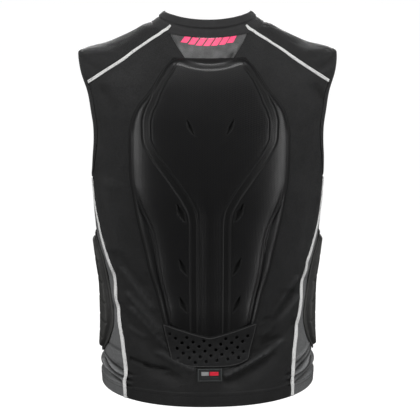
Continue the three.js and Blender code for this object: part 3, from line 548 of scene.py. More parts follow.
@dataclass
class Fabrication:
    """Turns grids of points in millimetres into objects of the scene."""

    sharp: float = math.radians(46)
    made: list = field(default_factory=list)

    def mesh(self, name: str, points: np.ndarray, faces: Sequence, uv: np.ndarray | None = None) -> Piece:
        """Makes one object, facing outwards.

        Args:
            name: The piece's name.
            points: Its points in millimetres.
            faces: Point numbers of each face.
            uv: Two coordinates a point, in millimetres along and down the cloth.

        Returns:
            The object, which rides on the vest.
        """
        points = points.reshape(-1, 3)
        corners = [list(map(int, face)) for face in faces]
        if self.inside_out(points, corners):
            corners = [face[::-1] for face in corners]
        mesh = bpy.data.meshes.new(name)
        mesh.from_pydata((points * MM).tolist(), [], corners)
        mesh.polygons.foreach_set("use_smooth", [True] * len(mesh.polygons))
        if uv is not None:
            layer = mesh.uv_layers.new(name="cloth")
            loops = np.empty(len(mesh.loops), dtype=np.int32)
            mesh.loops.foreach_get("vertex_index", loops)
            layer.data.foreach_set("uv", (uv.reshape(-1, 2)[loops] * MM).ravel())
        mesh.update()
        mesh.set_sharp_from_angle(angle=self.sharp)
        piece = bpy.data.objects.new(name, mesh)
        bpy.context.scene.collection.objects.link(piece)
        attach(piece, "root")
        self.made.append(piece)
        return piece

    @staticmethod
    def inside_out(points: np.ndarray, faces: list[list[int]]) -> bool:
        """Whether the faces' normals point into the body they close."""
        fan = np.array([(face[0], face[k], face[k + 1]) for face in faces for k in range(1, len(face) - 1)])
        a, b, c = (points[fan[:, k]] for k in range(3))
        return float(np.einsum("ij,ij->i", a, np.cross(b, c)).sum()) < 0

    def shell(self, name: str, outer: Grid, inner: Grid, uv: Grid) -> Piece:
        """A closed sheet between an outer and an inner grid of points.

        Args:
            name: The piece's name.
            outer: The outer grid, rows by columns by 3.
            inner: The inner grid, of the same shape.
            uv: Two cloth coordinates for each of a grid's points.

        Returns:
            The object.
        """
        points = np.concatenate([outer.reshape(-1, 3), inner.reshape(-1, 3)])
        return self.mesh(name, points, shell_faces(*outer.shape[:2]), np.concatenate([uv.reshape(-1, 2)] * 2))

    @staticmethod
    def mark(piece: Piece, name: str, values: Grid) -> None:
        """Keeps a number at each point of a sheet's outer grid for its finish to read.

        Args:
            piece: A sheet that shell() made.
            name: The number's name.
            values: The numbers, of the outer grid's shape; the inner grid's are 0.
        """
        layer = piece.data.attributes.new(name, "FLOAT", "POINT")
        layer.data.foreach_set("value", np.concatenate([values.ravel(), np.zeros(values.size)]))

    def loft(self, name: str, sections: Grid, ring: bool = False, along: Grid | None = None) -> Piece:
        """A body through closed sections, closed round on itself or with flat ends.

        Args:
            name: The piece's name.
            sections: Sections by points by 3.
            ring: Whether the last section joins the first.
            along: How far along each section is, for the cloth coordinates.

        Returns:
            The object.
        """
        steps, count = sections.shape[:2]
        faces = [list(face) for face in grid_faces(steps, count, ring=True)]
        if ring:
            last = (steps - 1) * count
            faces += [[last + k, last + (k + 1) % count, (k + 1) % count, k] for k in range(count)]
        else:
            faces += [list(range(count))[::-1], [(steps - 1) * count + k for k in range(count)]]
        round_it = np.linalg.norm(np.diff(sections[steps // 2], axis=0, prepend=sections[steps // 2][:1]), axis=-1)
        if along is None:
            hop = np.linalg.norm(np.diff(sections.mean(axis=1), axis=0), axis=-1)
            along = np.concatenate([[0], np.cumsum(hop)])
        uv = np.stack(np.broadcast_arrays(np.cumsum(round_it)[None, :], along[:, None]), axis=-1)
        return self.mesh(name, sections, faces, uv)

    def tube(self, name: str, middle: Grid, out: Grid, wide: float, tall: float) -> Piece:
        """A flattened cord along a closed path.

        Args:
            name: The piece's name.
            middle: Points along the path.
            out: Unit vectors out of the cloth at them.
            wide: Half its width.
            tall: Half its height.

        Returns:
            The object.
        """
        across = np.cross(np.roll(middle, -1, axis=0) - np.roll(middle, 1, axis=0), out)
        across /= np.maximum(np.linalg.norm(across, axis=-1, keepdims=True), 1e-6)
        turns = np.arange(8)[:, None] * math.pi / 4
        ring = across[:, None] * np.cos(turns) * wide + out[:, None] * np.sin(turns) * tall
        return self.loft(name, middle[:, None] + ring, ring=True)

    def stitches(self, name: str, path: Grid, outward: Grid, stitch: "Stitch", closed: bool = False) -> Piece:
        """A row of sewn stitches along a path.

        Args:
            name: The piece's name.
            path: Points along the path.
            outward: Unit vectors out of the cloth at them.
            stitch: The size of a stitch and the gap to the next.
            closed: Whether the path ends where it starts.

        Returns:
            The object, one mesh for the whole row.
        """
        if closed:
            path, outward = (np.concatenate([row, row[:1]]) for row in (path, outward))
        hop = np.linalg.norm(np.diff(path, axis=0), axis=-1)
        along = np.concatenate([[0], np.cumsum(hop)])
        count = max(1, int(along[-1] / (stitch.length + stitch.gap)))
        start = (np.arange(count) + 0.5) * along[-1] / count - stitch.length / 2
        stations = np.array([0, 0.18, 0.5, 0.82, 1])
        thick = np.array([0.25, 0.85, 1, 0.85, 0.25])
        where = start[:, None] + stations[None, :] * stitch.length
        at = lambda rows: np.stack([np.interp(where, along, rows[:, k]) for k in range(3)], axis=-1)  # noqa: E731
        middle, out = at(path), at(outward)
        forward = middle[:, -1] - middle[:, 0]
        forward /= np.linalg.norm(forward, axis=-1, keepdims=True)
        across = np.cross(forward[:, None], out)
        across /= np.linalg.norm(across, axis=-1, keepdims=True)
        turns = np.arange(5) * 2 * math.pi / 5
        ring = across[:, :, None] * np.cos(turns)[:, None] + out[:, :, None] * np.sin(turns)[:, None]
        sunk = stitch.radius * (thick - 0.35)
        points = middle[:, :, None] + out[:, :, None] * sunk[:, None, None] + ring * (stitch.radius * thick)[:, None, None]
        faces: list[list[int]] = []
        side = grid_faces(5, 5, ring=True)
        for number in range(count):
            first = number * 25
            faces += [*(side + first).tolist(), [first + k for k in range(4, -1, -1)], [first + 20 + k for k in range(5)]]
        return self.mesh(name, points, faces)


@dataclass(frozen=True)
class Stitch:
    """A sewn stitch, in millimetres."""

    length: float = 2.4
    gap: float = 0.9
    radius: float = 0.3


def lengths(points: Grid) -> Grid:
    """How far each point of a grid is along its row, measured from the row's middle column."""
    hop = np.linalg.norm(np.diff(points, axis=1), axis=-1)
    along = np.concatenate([np.zeros((len(points), 1)), np.cumsum(hop, axis=1)], axis=1)
    return along - along[:, along.shape[1] // 2][:, None]


def drops(points: Grid) -> Grid:
    """How far each point of a grid is down its column."""
    hop = np.linalg.norm(np.diff(points, axis=0), axis=-1)
    return np.concatenate([np.zeros((1, points.shape[1])), np.cumsum(hop, axis=0)])


# Finishes


@dataclass
class Weave:
    """Builds one material's nodes step by step."""

    name: str

    def __post_init__(self) -> None:
        """Starts from a plain shader."""
        self.material = bpy.data.materials.new(self.name)
        self.material.use_nodes = True
        self.tree = self.material.node_tree
        self.shader = self.tree.nodes["Principled BSDF"]

    def node(self, kind: str, **settings: object) -> bpy.types.Node:
        """Adds a node and sets its properties."""
        node = self.tree.nodes.new(kind)
        for key, value in settings.items():
            setattr(node, key, value)
        return node

    def feed(self, socket: Socket, value: object) -> None:
        """Links a socket to another one, or sets its value."""
        if isinstance(value, Socket):
            self.tree.links.new(value, socket)
        else:
            socket.default_value = value

    def maths(self, operation: str, first: object, second: object = 0.0, third: object = 0.0) -> Socket:
        """One step of arithmetic."""
        node = self.node("ShaderNodeMath", operation=operation)
        for socket, value in zip(node.inputs, (first, second, third)):
            self.feed(socket, value)
        return node.outputs[0]

    def cloth(self) -> tuple[Socket, Socket]:
        """Coordinates along and down the cloth, in millimetres."""
        split = self.node("ShaderNodeSeparateXYZ")
        self.feed(split.inputs[0], self.node("ShaderNodeUVMap", uv_map="cloth").outputs[0])
        return tuple(self.maths("MULTIPLY", split.outputs[k], 1 / MM) for k in range(2))

    def mark(self, name: str) -> Socket:
        """A number that the mesh keeps at its points, or 0 where it keeps none."""
        return self.node("ShaderNodeAttribute", attribute_name=name).outputs["Fac"]

    def tinted(self, colour: Socket, factor: object) -> Socket:
        """A colour times a factor."""
        node = self.node("ShaderNodeVectorMath", operation="SCALE")
        self.feed(node.inputs[0], colour)
        self.feed(node.inputs["Scale"], factor)
        return node.outputs[0]

    def folds(self, colour: Socket, strength: float) -> Socket:
        """A colour with painted highlights on the folds' ridges and painted shade in the valleys between them."""
        return self.tinted(colour, self.maths("MULTIPLY_ADD", self.mark("fold"), strength, 1.0))

    def place(self) -> Socket:
        """The place on the vest, in metres."""
        return self.node("ShaderNodeTexCoord").outputs["Object"]

    def noise(self, size: float, detail: float = 2.0, roughness: float = 0.55) -> Socket:
        """Soft random blotches of a size in millimetres."""
        node = self.node("ShaderNodeTexNoise")
        self.feed(node.inputs["Vector"], self.place())
        for key, value in (("Scale", 1 / (size * MM)), ("Detail", detail), ("Roughness", roughness)):
            node.inputs[key].default_value = value
        return node.outputs["Fac"]

    def cells(self, size: float, output: str = "Distance") -> Socket:
        """Random cells of a size in millimetres."""
        node = self.node("ShaderNodeTexVoronoi")
        self.feed(node.inputs["Vector"], self.place())
        node.inputs["Scale"].default_value = 1 / (size * MM)
        return node.outputs[output]

    def wave(self, value: object, pitch: float) -> Socket:
        """A cosine of a coordinate that repeats at a pitch, from -1 to 1."""
        return self.maths("COSINE", self.maths("MULTIPLY", value, 2 * math.pi / pitch))

    def fit(self, value: object, low: float, high: float, to_low: float, to_high: float) -> Socket:
        """Moves a range of values onto another, and holds it there."""
        node = self.node("ShaderNodeMapRange")
        for socket, number in zip(node.inputs, (value, low, high, to_low, to_high)):
            self.feed(socket, number)
        return node.outputs[0]

    def blend(self, share: object, low: object, high: object) -> Socket:
        """A mix of two colours."""
        node = self.node("ShaderNodeMix", data_type="RGBA")
        self.feed(node.inputs[0], share)
        for socket, colour in ((node.inputs[6], low), (node.inputs[7], high)):
            self.feed(socket, colour if isinstance(colour, Socket) else (*colour, 1.0))
        return node.outputs[2]

    def relief(self, height: object, depth: float, below: Socket | None = None) -> Socket:
        """A bump of a depth in millimetres, over another bump."""
        node = self.node("ShaderNodeBump")
        node.inputs["Strength"].default_value = 1.0
        node.inputs["Distance"].default_value = depth * MM
        self.feed(node.inputs["Height"], height)
        if below is not None:
            self.feed(node.inputs["Normal"], below)
        return node.outputs[0]

    def honeycomb(self, pitch: float, roundness: float) -> Socket:
        """Round holes on a hexagonal net: 0 in a hole's middle and 1 on the net.

        Args:
            pitch: How far apart the holes are, in millimetres.
            roundness: How soft a hole's edge is.

        Returns:
            The height of the net.
        """
        along, down = self.cloth()
        slant = math.sqrt(3) / 2
        first = self.wave(along, pitch * slant)
        half = self.maths("MULTIPLY", along, 0.5)
        tall = self.maths("MULTIPLY", down, slant)
        second = self.wave(self.maths("ADD", half, tall), pitch * slant)
        third = self.wave(self.maths("SUBTRACT", half, tall), pitch * slant)
        total = self.maths("ADD", self.maths("ADD", first, second), third)
        return self.fit(total, 1.1 + roundness, 1.1 - roundness, 0, 1)

    def knit(self, wale: float, course: float) -> Socket:
        """The small legs of a plain knit.

        Args:
            wale: The pitch along the cloth, in millimetres.
            course: The pitch down the cloth, in millimetres.

        Returns:
            The height of the yarn, from -1 to 1.
        """
        along, down = self.cloth()
        leg = self.maths("PINGPONG", along, wale / 2)
        slanted = self.maths("ADD", down, self.maths("MULTIPLY", leg, course / wale))
        return self.maths("ADD", self.wave(along, wale / 2), self.wave(slanted, course))

    def cover(self, colour: Socket, normal: Socket, roughness: Socket | None = None) -> None:
        """Feeds the shader.

        Args:
            colour: Its colour.
            normal: Its relief.
            roughness: Its roughness, where that isn't the same all over.
        """
        self.feed(self.shader.inputs["Base Color"], colour)
        self.feed(self.shader.inputs["Normal"], normal)
        if roughness is not None:
            self.feed(self.shader.inputs["Roughness"], roughness)


@dataclass(frozen=True)
class Sheen:
    """Numbers of the shader that are the same all over a piece."""

    roughness: float = 0.8
    specular: float = 0.3
    sheen: float = 0.1
    sheen_roughness: float = 0.5
    metallic: float = 0.0
    coat: float = 0.0

    def dress(self, weave: Weave) -> None:
        """Sets them on the shader's own sockets."""
        values = {
            "Roughness": self.roughness,
            "Specular IOR Level": self.specular,
            "Sheen Weight": self.sheen,
            "Sheen Roughness": self.sheen_roughness,
            "Metallic": self.metallic,
            "Coat Weight": self.coat,
        }
        for socket, value in values.items():
            weave.shader.inputs[socket].default_value = value


@dataclass(frozen=True)
class Finish:
    """What every finish has: a name, and a material that is woven from nodes."""

    name: str

    def material(self) -> bpy.types.Material:
        """Builds the material.

        Returns:
            The material.
        """
        weave = Weave(self.name)
        self.sheen.dress(weave)
        self.look(weave)
        return weave.material


@dataclass(frozen=True)
class JerseyFinish(Finish):
    """Fine stretch jersey, faded a little in soft patches."""

    light: Colour
    dark: Colour
    wale: float = 1.15
    course: float = 0.9
    heather: float = 0.0
    sheen: Sheen = Sheen(roughness=0.66, specular=0.2, sheen=0.03)

    def look(self, weave: Weave) -> None:
        """Weaves the nodes.

        Args:
            weave: The material's nodes so far.
        """
        patches = weave.fit(weave.noise(46, 3), 0.3, 0.7, 0, 1)
        yarn = weave.fit(weave.noise(1.1, 1), 0.35, 0.65, 0, 1)
        mottle = weave.fit(weave.noise(2.4, 2), 0.36, 0.64, 0, 0.6)
        fine = weave.maths("MULTIPLY_ADD", yarn, 0.2, mottle)
        base = weave.blend(weave.maths("MULTIPLY_ADD", patches, 0.2, fine), self.dark, self.light)
        if self.heather:
            fleck = weave.fit(weave.noise(0.7, 2), 0.42, 0.62, 0, self.heather)
            base = weave.blend(fleck, base, tuple(2.1 * part for part in self.light))
        slack = weave.relief(weave.noise(22, 2), 1.1)
        crumple = weave.relief(weave.noise(4.2, 2), 0.16, slack)
        fuzz = weave.relief(weave.noise(0.8, 1), 0.1, crumple)
        knit = weave.relief(weave.knit(self.wale, self.course), 0.06, fuzz)
        worn = weave.fit(weave.noise(30, 2), 0.35, 0.7, self.sheen.roughness - 0.07, self.sheen.roughness + 0.06)
        # Painted light and shade: the jersey is lighter on the folds' ridges and darker in their valleys.
        weave.cover(weave.folds(base, 1.0), knit, worn)


@dataclass(frozen=True)
class NetFinish(Finish):
    """Open net with small round holes over a darker backing."""

    net: Colour
    hole: Colour
    pitch: float
    depth: float
    blotch: float
    sheen: Sheen

    def look(self, weave: Weave) -> None:
        """Weaves the nodes.

        Args:
            weave: The material's nodes so far.
        """
        net = weave.honeycomb(self.pitch, 0.9)
        patches = weave.fit(weave.noise(17, 3), 0.3, 0.7, 1 - self.blotch, 1 + self.blotch)
        # Painted light and shade: the net is lighter on the folds' ridges and darker in their valleys.
        base = weave.folds(weave.tinted(weave.blend(net, self.hole, self.net), patches), 0.9)
        hollow = weave.mark("shade")
        # Painted shade: the shade mark darkens the vents, grooves, edge crease and top lip nearly to black.
        dark = weave.blend(weave.maths("MULTIPLY", hollow, 0.94), base, (0.001, 0.001, 0.001))
        yarn = weave.relief(weave.noise(0.9, 1), 0.05)
        gloss = weave.fit(net, 0, 1, 0.8, self.sheen.roughness)
        weave.cover(dark, weave.relief(net, self.depth, yarn), weave.maths("MAXIMUM", gloss, hollow))


@dataclass(frozen=True)
class RibFinish(Finish):
    """Fine rib knit, for the collar and the turned edges."""

    light: Colour
    dark: Colour
    pitch: float = 1.9
    sheen: Sheen = Sheen(roughness=0.8, specular=0.25, sheen=0.08)

    def look(self, weave: Weave) -> None:
        """Weaves the nodes.

        Args:
            weave: The material's nodes so far.
        """
        _, down = weave.cloth()
        rib = weave.fit(weave.wave(down, self.pitch), -1, 1, 0, 1)
        shade = weave.maths("MULTIPLY", rib, weave.fit(weave.noise(14, 2), 0.3, 0.7, 0.55, 1))
        fuzz = weave.relief(weave.noise(0.8, 1), 0.08)
        gloss = weave.fit(rib, 0, 1, 0.92, self.sheen.roughness)
        weave.cover(weave.blend(shade, self.dark, self.light), weave.relief(rib, 0.22, fuzz), gloss)


@dataclass(frozen=True)
class PipingFinish(Finish):
    """Silver reflective tape with fine flecks rubbed out of it."""

    silver: Colour = (0.46, 0.46, 0.455)
    rubbed: Colour = (0.1, 0.1, 0.105)
    sheen: Sheen = Sheen(roughness=0.5, specular=0.4, sheen=0.0)

    def look(self, weave: Weave) -> None:
        """Weaves the nodes.

        Args:
            weave: The material's nodes so far.
        """
        beads = weave.fit(weave.cells(1.5), 0.25, 0.75, 0, 1)
        worn = weave.fit(weave.noise(2.6, 3, 0.7), 0.53, 0.68, 0, 0.85)
        fleck = weave.maths("MULTIPLY", worn, weave.maths("MULTIPLY_ADD", beads, 0.5, 0.5))
        grain = weave.relief(worn, 0.15, weave.relief(beads, 0.12))
        gloss = weave.fit(worn, 0, 1, self.sheen.roughness, 0.75)
        weave.cover(weave.blend(fleck, self.silver, self.rubbed), grain, gloss)


@dataclass(frozen=True)
class FoamFinish(Finish):
    """Moulded or skinned foam with a fine pebbled grain and rubbed edges."""

    skin: Colour
    rubbed: Colour
    grain: float
    grain_depth: float
    sheen: Sheen

    def look(self, weave: Weave) -> None:
        """Weaves the nodes.

        Args:
            weave: The material's nodes so far.
        """
        edge = weave.fit(weave.node("ShaderNodeNewGeometry").outputs["Pointiness"], 0.5, 0.58, 0, 0.8)
        smudge = weave.fit(weave.noise(18, 3), 0.4, 0.75, 0, 0.35)
        share = weave.maths("MAXIMUM", edge, smudge)
        skin = weave.blend(share, self.skin, self.rubbed)
        speck = weave.fit(weave.noise(2.6, 2), 0.4, 0.6, 0.55, 1)
        # Painted shade: the shade mark darkens the gutters inside the rib pads' rims.
        rim = weave.maths("MULTIPLY", weave.mark("shade"), speck)
        colour = weave.blend(rim, skin, (0.002, 0.002, 0.002))
        pebble = weave.relief(weave.fit(weave.cells(self.grain), 0, 0.6, 1, 0), self.grain_depth)
        low, high = self.sheen.roughness - 0.05, self.sheen.roughness + 0.15
        weave.cover(colour, pebble, weave.fit(weave.noise(9, 3), 0.3, 0.7, low, high))


@dataclass(frozen=True)
class ThreadFinish(Finish):
    """Twisted sewing thread or a plain transfer print."""

    light: Colour
    dark: Colour
    grain: float = 0.5
    sheen: Sheen = Sheen(roughness=0.85, specular=0.12, sheen=0.03)

    def look(self, weave: Weave) -> None:
        """Weaves the nodes.

        Args:
            weave: The material's nodes so far.
        """
        twist = weave.fit(weave.noise(self.grain, 2), 0.35, 0.65, 0, 1)
        weave.cover(weave.blend(twist, self.dark, self.light), weave.relief(twist, 0.08))


@dataclass(frozen=True)
class LabelFinish(Finish):
    """A woven label: dark ground, thin grey border, a light bar, a red bar and a thin line below."""

    ground: Colour = (0.009, 0.0092, 0.0096)
    border: Colour = (0.03, 0.033, 0.033)
    light: Colour = (0.2, 0.2, 0.2)
    red: Colour = (0.5, 0.012, 0.03)
    sheen: Sheen = Sheen(roughness=0.75, specular=0.2, sheen=0.04)

    def look(self, weave: Weave) -> None:
        """Weaves the nodes.

        Args:
            weave: The material's nodes so far.
        """
        along, down = weave.cloth()
        colour: object = self.border
        for wide, tall, fill in (
            ((-18.1, 18.1), (1.7, 19.3), self.ground),
            ((-17.5, 17.5), (2.3, 18.7), self.ground),
            ((-14, -2), (5, 11.4), self.light),
            ((-0.5, 14), (5, 11.4), self.red),
        ):
            colour = weave.blend(self.box(weave, along, down, wide, tall), colour, fill)
        rule = self.box(weave, along, down, (-14, 14), (14.4, 15.4))
        colour = weave.blend(weave.maths("MULTIPLY", rule, 0.6), colour, self.border)
        pick = weave.maths("MULTIPLY", weave.wave(along, 0.7), weave.wave(down, 0.55))
        weave.cover(colour, weave.relief(pick, 0.08))

    @staticmethod
    def box(
        weave: Weave, along: object, down: object, wide: tuple[float, float], tall: tuple[float, float]
    ) -> Socket:
        """1 inside a plain box on the label, and 0 outside it."""
        within = lambda value, ends: weave.fit(  # noqa: E731
            weave.maths("ABSOLUTE", weave.maths("SUBTRACT", value, sum(ends) / 2)),
            (ends[1] - ends[0]) / 2 + 0.2, (ends[1] - ends[0]) / 2 - 0.2, 0, 1,
        )
        return weave.maths("MULTIPLY", within(along, wide), within(down, tall))


@dataclass
class Finishes:
    """The vest's materials, each built once."""

    black_jersey: JerseyFinish = JerseyFinish("black jersey", (0.0112, 0.0113, 0.0116), (0.002, 0.0021, 0.0022))
    grey_jersey: JerseyFinish = JerseyFinish(
        "grey jersey", (0.079, 0.08, 0.081), (0.043, 0.044, 0.045), heather=0.25,
        sheen=Sheen(roughness=0.7, specular=0.3, sheen=0.06),
    )
    nape_mesh: NetFinish = NetFinish(
        "grey nape mesh", (0.047, 0.047, 0.047), (0.01, 0.01, 0.011), 2.1, 0.3, 0.5,
        Sheen(roughness=0.6, specular=0.4, sheen=0.1),
    )
    pad_mesh: NetFinish = NetFinish(
        "honeycomb pad mesh", (0.0032, 0.0032, 0.0034), (0.0009, 0.0009, 0.001), 2.8, 0.11, 0.1,
        Sheen(roughness=0.38, specular=0.25, sheen=0.01, sheen_roughness=0.4),
    )
    rib_knit: RibFinish = RibFinish("black rib knit", (0.0165, 0.0165, 0.017), (0.0055, 0.0055, 0.0058))
    silver_piping: PipingFinish = PipingFinish("silver piping")
    perforated_foam: FoamFinish = FoamFinish(
        "perforated foam", (0.0038, 0.0039, 0.0041), (0.0072, 0.0072, 0.0076), 0.8, 0.1,
        Sheen(roughness=0.72, specular=0.2, sheen=0.02),
    )
    moulded_foam: FoamFinish = FoamFinish(
        "moulded rib foam", (0.012, 0.012, 0.0112), (0.03, 0.03, 0.027), 1.3, 0.16,
        Sheen(roughness=0.62, specular=0.28, sheen=0.04),
    )
    dark_thread: ThreadFinish = ThreadFinish("black thread", (0.0065, 0.0065, 0.0068), (0.003, 0.003, 0.003))
    grey_thread: ThreadFinish = ThreadFinish("grey thread", (0.034, 0.034, 0.034), (0.014, 0.014, 0.014))
    pink_print: ThreadFinish = ThreadFinish(
        "pink print", (0.72, 0.035, 0.13), (0.58, 0.02, 0.09), 1.4, Sheen(roughness=0.5, specular=0.4, sheen=0)
    )
    label_weave: LabelFinish = LabelFinish("woven label")
    built: dict = field(default_factory=dict)

    def dress(self, piece: Piece, finish: object, slot: Slot) -> None:
        """Gives a piece its finish.

        Args:
            piece: The piece.
            finish: Its finish.
            slot: The record's material slot; not used.
        """
        if finish.name not in self.built:
            self.built[finish.name] = finish.material()
        piece.data.materials.append(self.built[finish.name])


# Sub-assemblies


@dataclass
class Maker:
    """What every sub-assembly works with."""

    pattern: Pattern
    fabrication: Fabrication
    finishes: Finishes

    @property
    def body(self) -> BodyForm:
        """The body form under the pattern."""
        return self.pattern.body


@dataclass
class SubAssembly:
    """A part of the vest that is made and dressed as one."""

    maker: Maker

    def dressed(self, piece: Piece, finish: "Finish", slot: Slot, *nodes: str) -> Piece:
        """Gives a piece its finish and hides the solids it stands for.

        Args:
            piece: The piece.
            finish: Its finish.
            slot: The record's material slot that the finish comes from.
            nodes: The solids that it replaces, if there are any.

        Returns:
            The piece.
        """
        self.maker.finishes.dress(piece, finish, slot)
        if nodes:
            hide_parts(*nodes)
        return piece

    def seamed(
        self, name: str, around: Grid, down: Grid, height: Grid, stitch: Stitch, finish: "Finish", slot: Slot,
        closed: bool = True,
    ) -> Piece:
        """Sews a row of stitches over the body form.

        Args:
            name: The row's name.
            around: Turns along it.
            down: Levels along it.
            height: How high over the plain form it runs.
            stitch: The size of its stitches.
            finish: The thread.
            slot: The record's material slot that the thread comes from.
            closed: Whether the row ends where it starts.

        Returns:
            The row.
        """
        body = self.maker.body
        path, out = body.raised(around, down, height), body.outward(around, down)
        return self.dressed(self.maker.fabrication.stitches(name, path, out, stitch, closed), finish, slot)


@dataclass
class Panels(SubAssembly):
    """The vest's cloth panels, with their seams, hem band and hem stitching."""

    row_pitch: float = 2.3
    seam_dip: float = 0.7
    seam_fade: float = 2.6
    pucker: float = 0.28
    pucker_pitch: float = 7.5
    hem_needle_gap: float = 5
    fold_height: float = 2.4

    def levels(self, *ends: float) -> np.ndarray:
        """Rows at the usual pitch through some levels."""
        pairs = zip(ends[:-1], ends[1:])
        return joined(*[evenly(a, b, max(1, round((b - a) / self.row_pitch))) for a, b in pairs])

    def shares(self, steps: int) -> np.ndarray:
        """Column shares from -1 to 1 that crowd towards the seams."""
        plain = evenly(-1, 1, steps)
        return np.sign(plain) * (1 - (1 - np.abs(plain)) ** 1.25)

    def hem_height(self, down: Grid) -> Grid:
        """How far the turned hem stands out, with its rounded lower edge."""
        body = self.maker.body
        top = body.length - body.hem_band
        band = body.hem_extra * ease(top - 0.8, top + 0.8, down)
        needle = sum(bump(down - top - 1.6 - k * self.hem_needle_gap, 1.1) for k in range(2))
        rounded = 0.9 * ease(body.length - 1.6, body.length, down)
        return band - 0.2 * needle * (down > top - 2) - rounded

    def low_rows(self, start: float) -> np.ndarray:
        """Rows from a level to the hem's edge, close together at the band and the edge."""
        body = self.maker.body
        top = body.length - body.hem_band
        band = [evenly(top - 2, top + 9, 14), evenly(top + 9, body.length - 2, 4), evenly(body.length - 2, body.length, 4)]
        return joined(self.levels(start, 540, top - 2), *band)

    def sewn(
        self, name: str, around: Grid, down: Grid, lift: Grid | float = 0.0, tone: Grid | float = 0.0
    ) -> Piece:
        """Makes a panel over a grid of places, drawn in and puckered at its seams.

        Args:
            name: The panel's name.
            around: Turns of its grid.
            down: Levels of its grid.
            lift: More height, such as a wrinkle.
            tone: How much lighter, or darker below zero, the cloth is worn.

        Returns:
            The panel.
        """
        body = self.maker.body
        plain = body.skin(around, down)
        along, drop = lengths(plain), drops(plain)
        from_side = np.minimum(along - along[:, :1], along[:, -1:] - along)
        edge = np.minimum(from_side, drop)
        run = np.where(from_side < drop, drop, along)
        gather = self.pucker * np.exp(-edge / 6) * np.sin(2 * math.pi * run / self.pucker_pitch)
        gather = gather * (0.6 + 0.4 * np.sin(run / 23))
        height = body.lift(around, down) + gather - self.seam_dip * np.exp(-((edge / self.seam_fade) ** 2))
        height = height + self.hem_height(down) + lift
        under = height - body.cloth + 1.2 * ease(body.length - 1.6, body.length, down)
        outer, inner = (body.raised(around, down, level) for level in (height, under))
        piece = self.maker.fabrication.shell(name, outer, inner, np.stack([along, drop], axis=-1))
        # Painted light and shade: how high the fine folds lift each point, so that the finish paints their ridges
        # lighter and their valleys darker.
        fold = (body.lift(around, down, broad=False) + lift) / self.fold_height
        self.maker.fabrication.mark(piece, "fold", np.clip(fold + tone, -0.95, 1.6))
        return piece

    def back(self) -> Piece:
        """The back panel, cut out for the inset at the nape.

        Returns:
            The panel.
        """
        pattern, body = self.maker.pattern, self.maker.body
        slit = pattern.seam_slit
        wide, narrow = pattern.nape_top + slit / 2, pattern.nape_foot + slit / 2
        top_share = float(body.turn_at_x(wide, slit) / pattern.edge_at(1, np.array(slit), True))
        foot_share = float(
            body.turn_at_x(narrow, pattern.nape_length) / pattern.edge_at(1, np.array(pattern.nape_length), True)
        )
        outer = 1 - (1 - evenly(0, 1, 56)) ** 1.1
        half = joined(evenly(0, foot_share, 14), evenly(foot_share, top_share, 14), top_share + (1 - top_share) * outer)
        shares = np.concatenate([-half[:0:-1], half])
        size = np.abs(shares)

        def outside(down: Grid) -> Grid:
            return body.skin(pattern.edge_at(size, down, True), down)[..., 0] - pattern.nape_x(down) - slit / 2

        below = crossing(outside, np.full_like(size, slit), np.full_like(size, pattern.nape_length))
        top = np.where(size > top_share * 0.9999, slit, below + np.where(size <= foot_share, slit, 0))
        level = 70.0
        upper = top[None, :] + (level - top[None, :]) * evenly(0, 1, 20)[:, None]
        seam, side = pattern.seam_meets_armhole(True), pattern.armhole_meets_side(True)
        rows = joined(self.levels(level, seam, side), self.low_rows(side))
        down = np.concatenate([upper, np.repeat(rows[1:, None], len(shares), axis=1)])
        around = pattern.edge_at(shares[None, :], down, True)
        # The back's colour is made darker towards the bottom.
        piece = self.sewn("back_panel_jersey", around, down, tone=-0.5 * ease(370, 500, down))
        return self.dressed(piece, self.maker.finishes.black_jersey, Slot.BLACK_JERSEY, "back_panel")

    def front(self) -> Piece:
        """The front panel.

        Returns:
            The panel.
        """
        pattern = self.maker.pattern
        seam, side = pattern.seam_meets_armhole(False), pattern.armhole_meets_side(False)
        rows = joined(self.levels(pattern.seam_slit, seam, side), self.low_rows(side))
        shares = self.shares(110)
        down = np.repeat(rows[:, None], len(shares), axis=1)
        around = math.pi - pattern.edge_at(shares[None, :], down, False)
        piece = self.sewn("front_panel_jersey", around, down)
        return self.dressed(piece, self.maker.finishes.black_jersey, Slot.BLACK_JERSEY, "front_panel")

    def side_grid(self) -> tuple[Grid, Grid]:
        """The places of the right side panel's grid."""
        pattern, body = self.maker.pattern, self.maker.body
        shares = self.shares(84)
        middle, radius, half_depth = pattern.armhole(pattern.binding_width)

        def turn(share: Grid, down: Grid) -> Grid:
            x = body.skin(pattern.side_turn(down), down)[..., 0] + pattern.seam_slit / 2
            return QUARTER + share * (QUARTER - body.turn_at_x(x, down))

        def outside(down: Grid) -> Grid:
            y = body.skin(turn(shares, down), down)[..., 1]
            return ((down - middle) / radius) ** 2 + (y / half_depth) ** 2 - 1

        tops = crossing(outside, np.full_like(shares, middle), np.full_like(shares, middle + radius))
        level = 540.0
        steps = round((level - middle - radius) / self.row_pitch)
        upper = tops[None, :] + (level - tops[None, :]) * evenly(0, 1, steps)[:, None]
        lower = np.repeat(self.low_rows(level - self.row_pitch)[2:, None], len(shares), axis=1)
        down = np.concatenate([upper, lower])
        return turn(shares[None, :], down), down

    def side(self, side: Side) -> Piece:
        """One grey side panel.

        Args:
            side: Which side.

        Returns:
            The panel.
        """
        around, down = self.side_grid()
        piece = self.sewn(f"side_panel_jersey_{side.word}", side.value * around, down)
        return self.dressed(piece, self.maker.finishes.grey_jersey, Slot.GREY_JERSEY, f"side_panel_{side.word}")

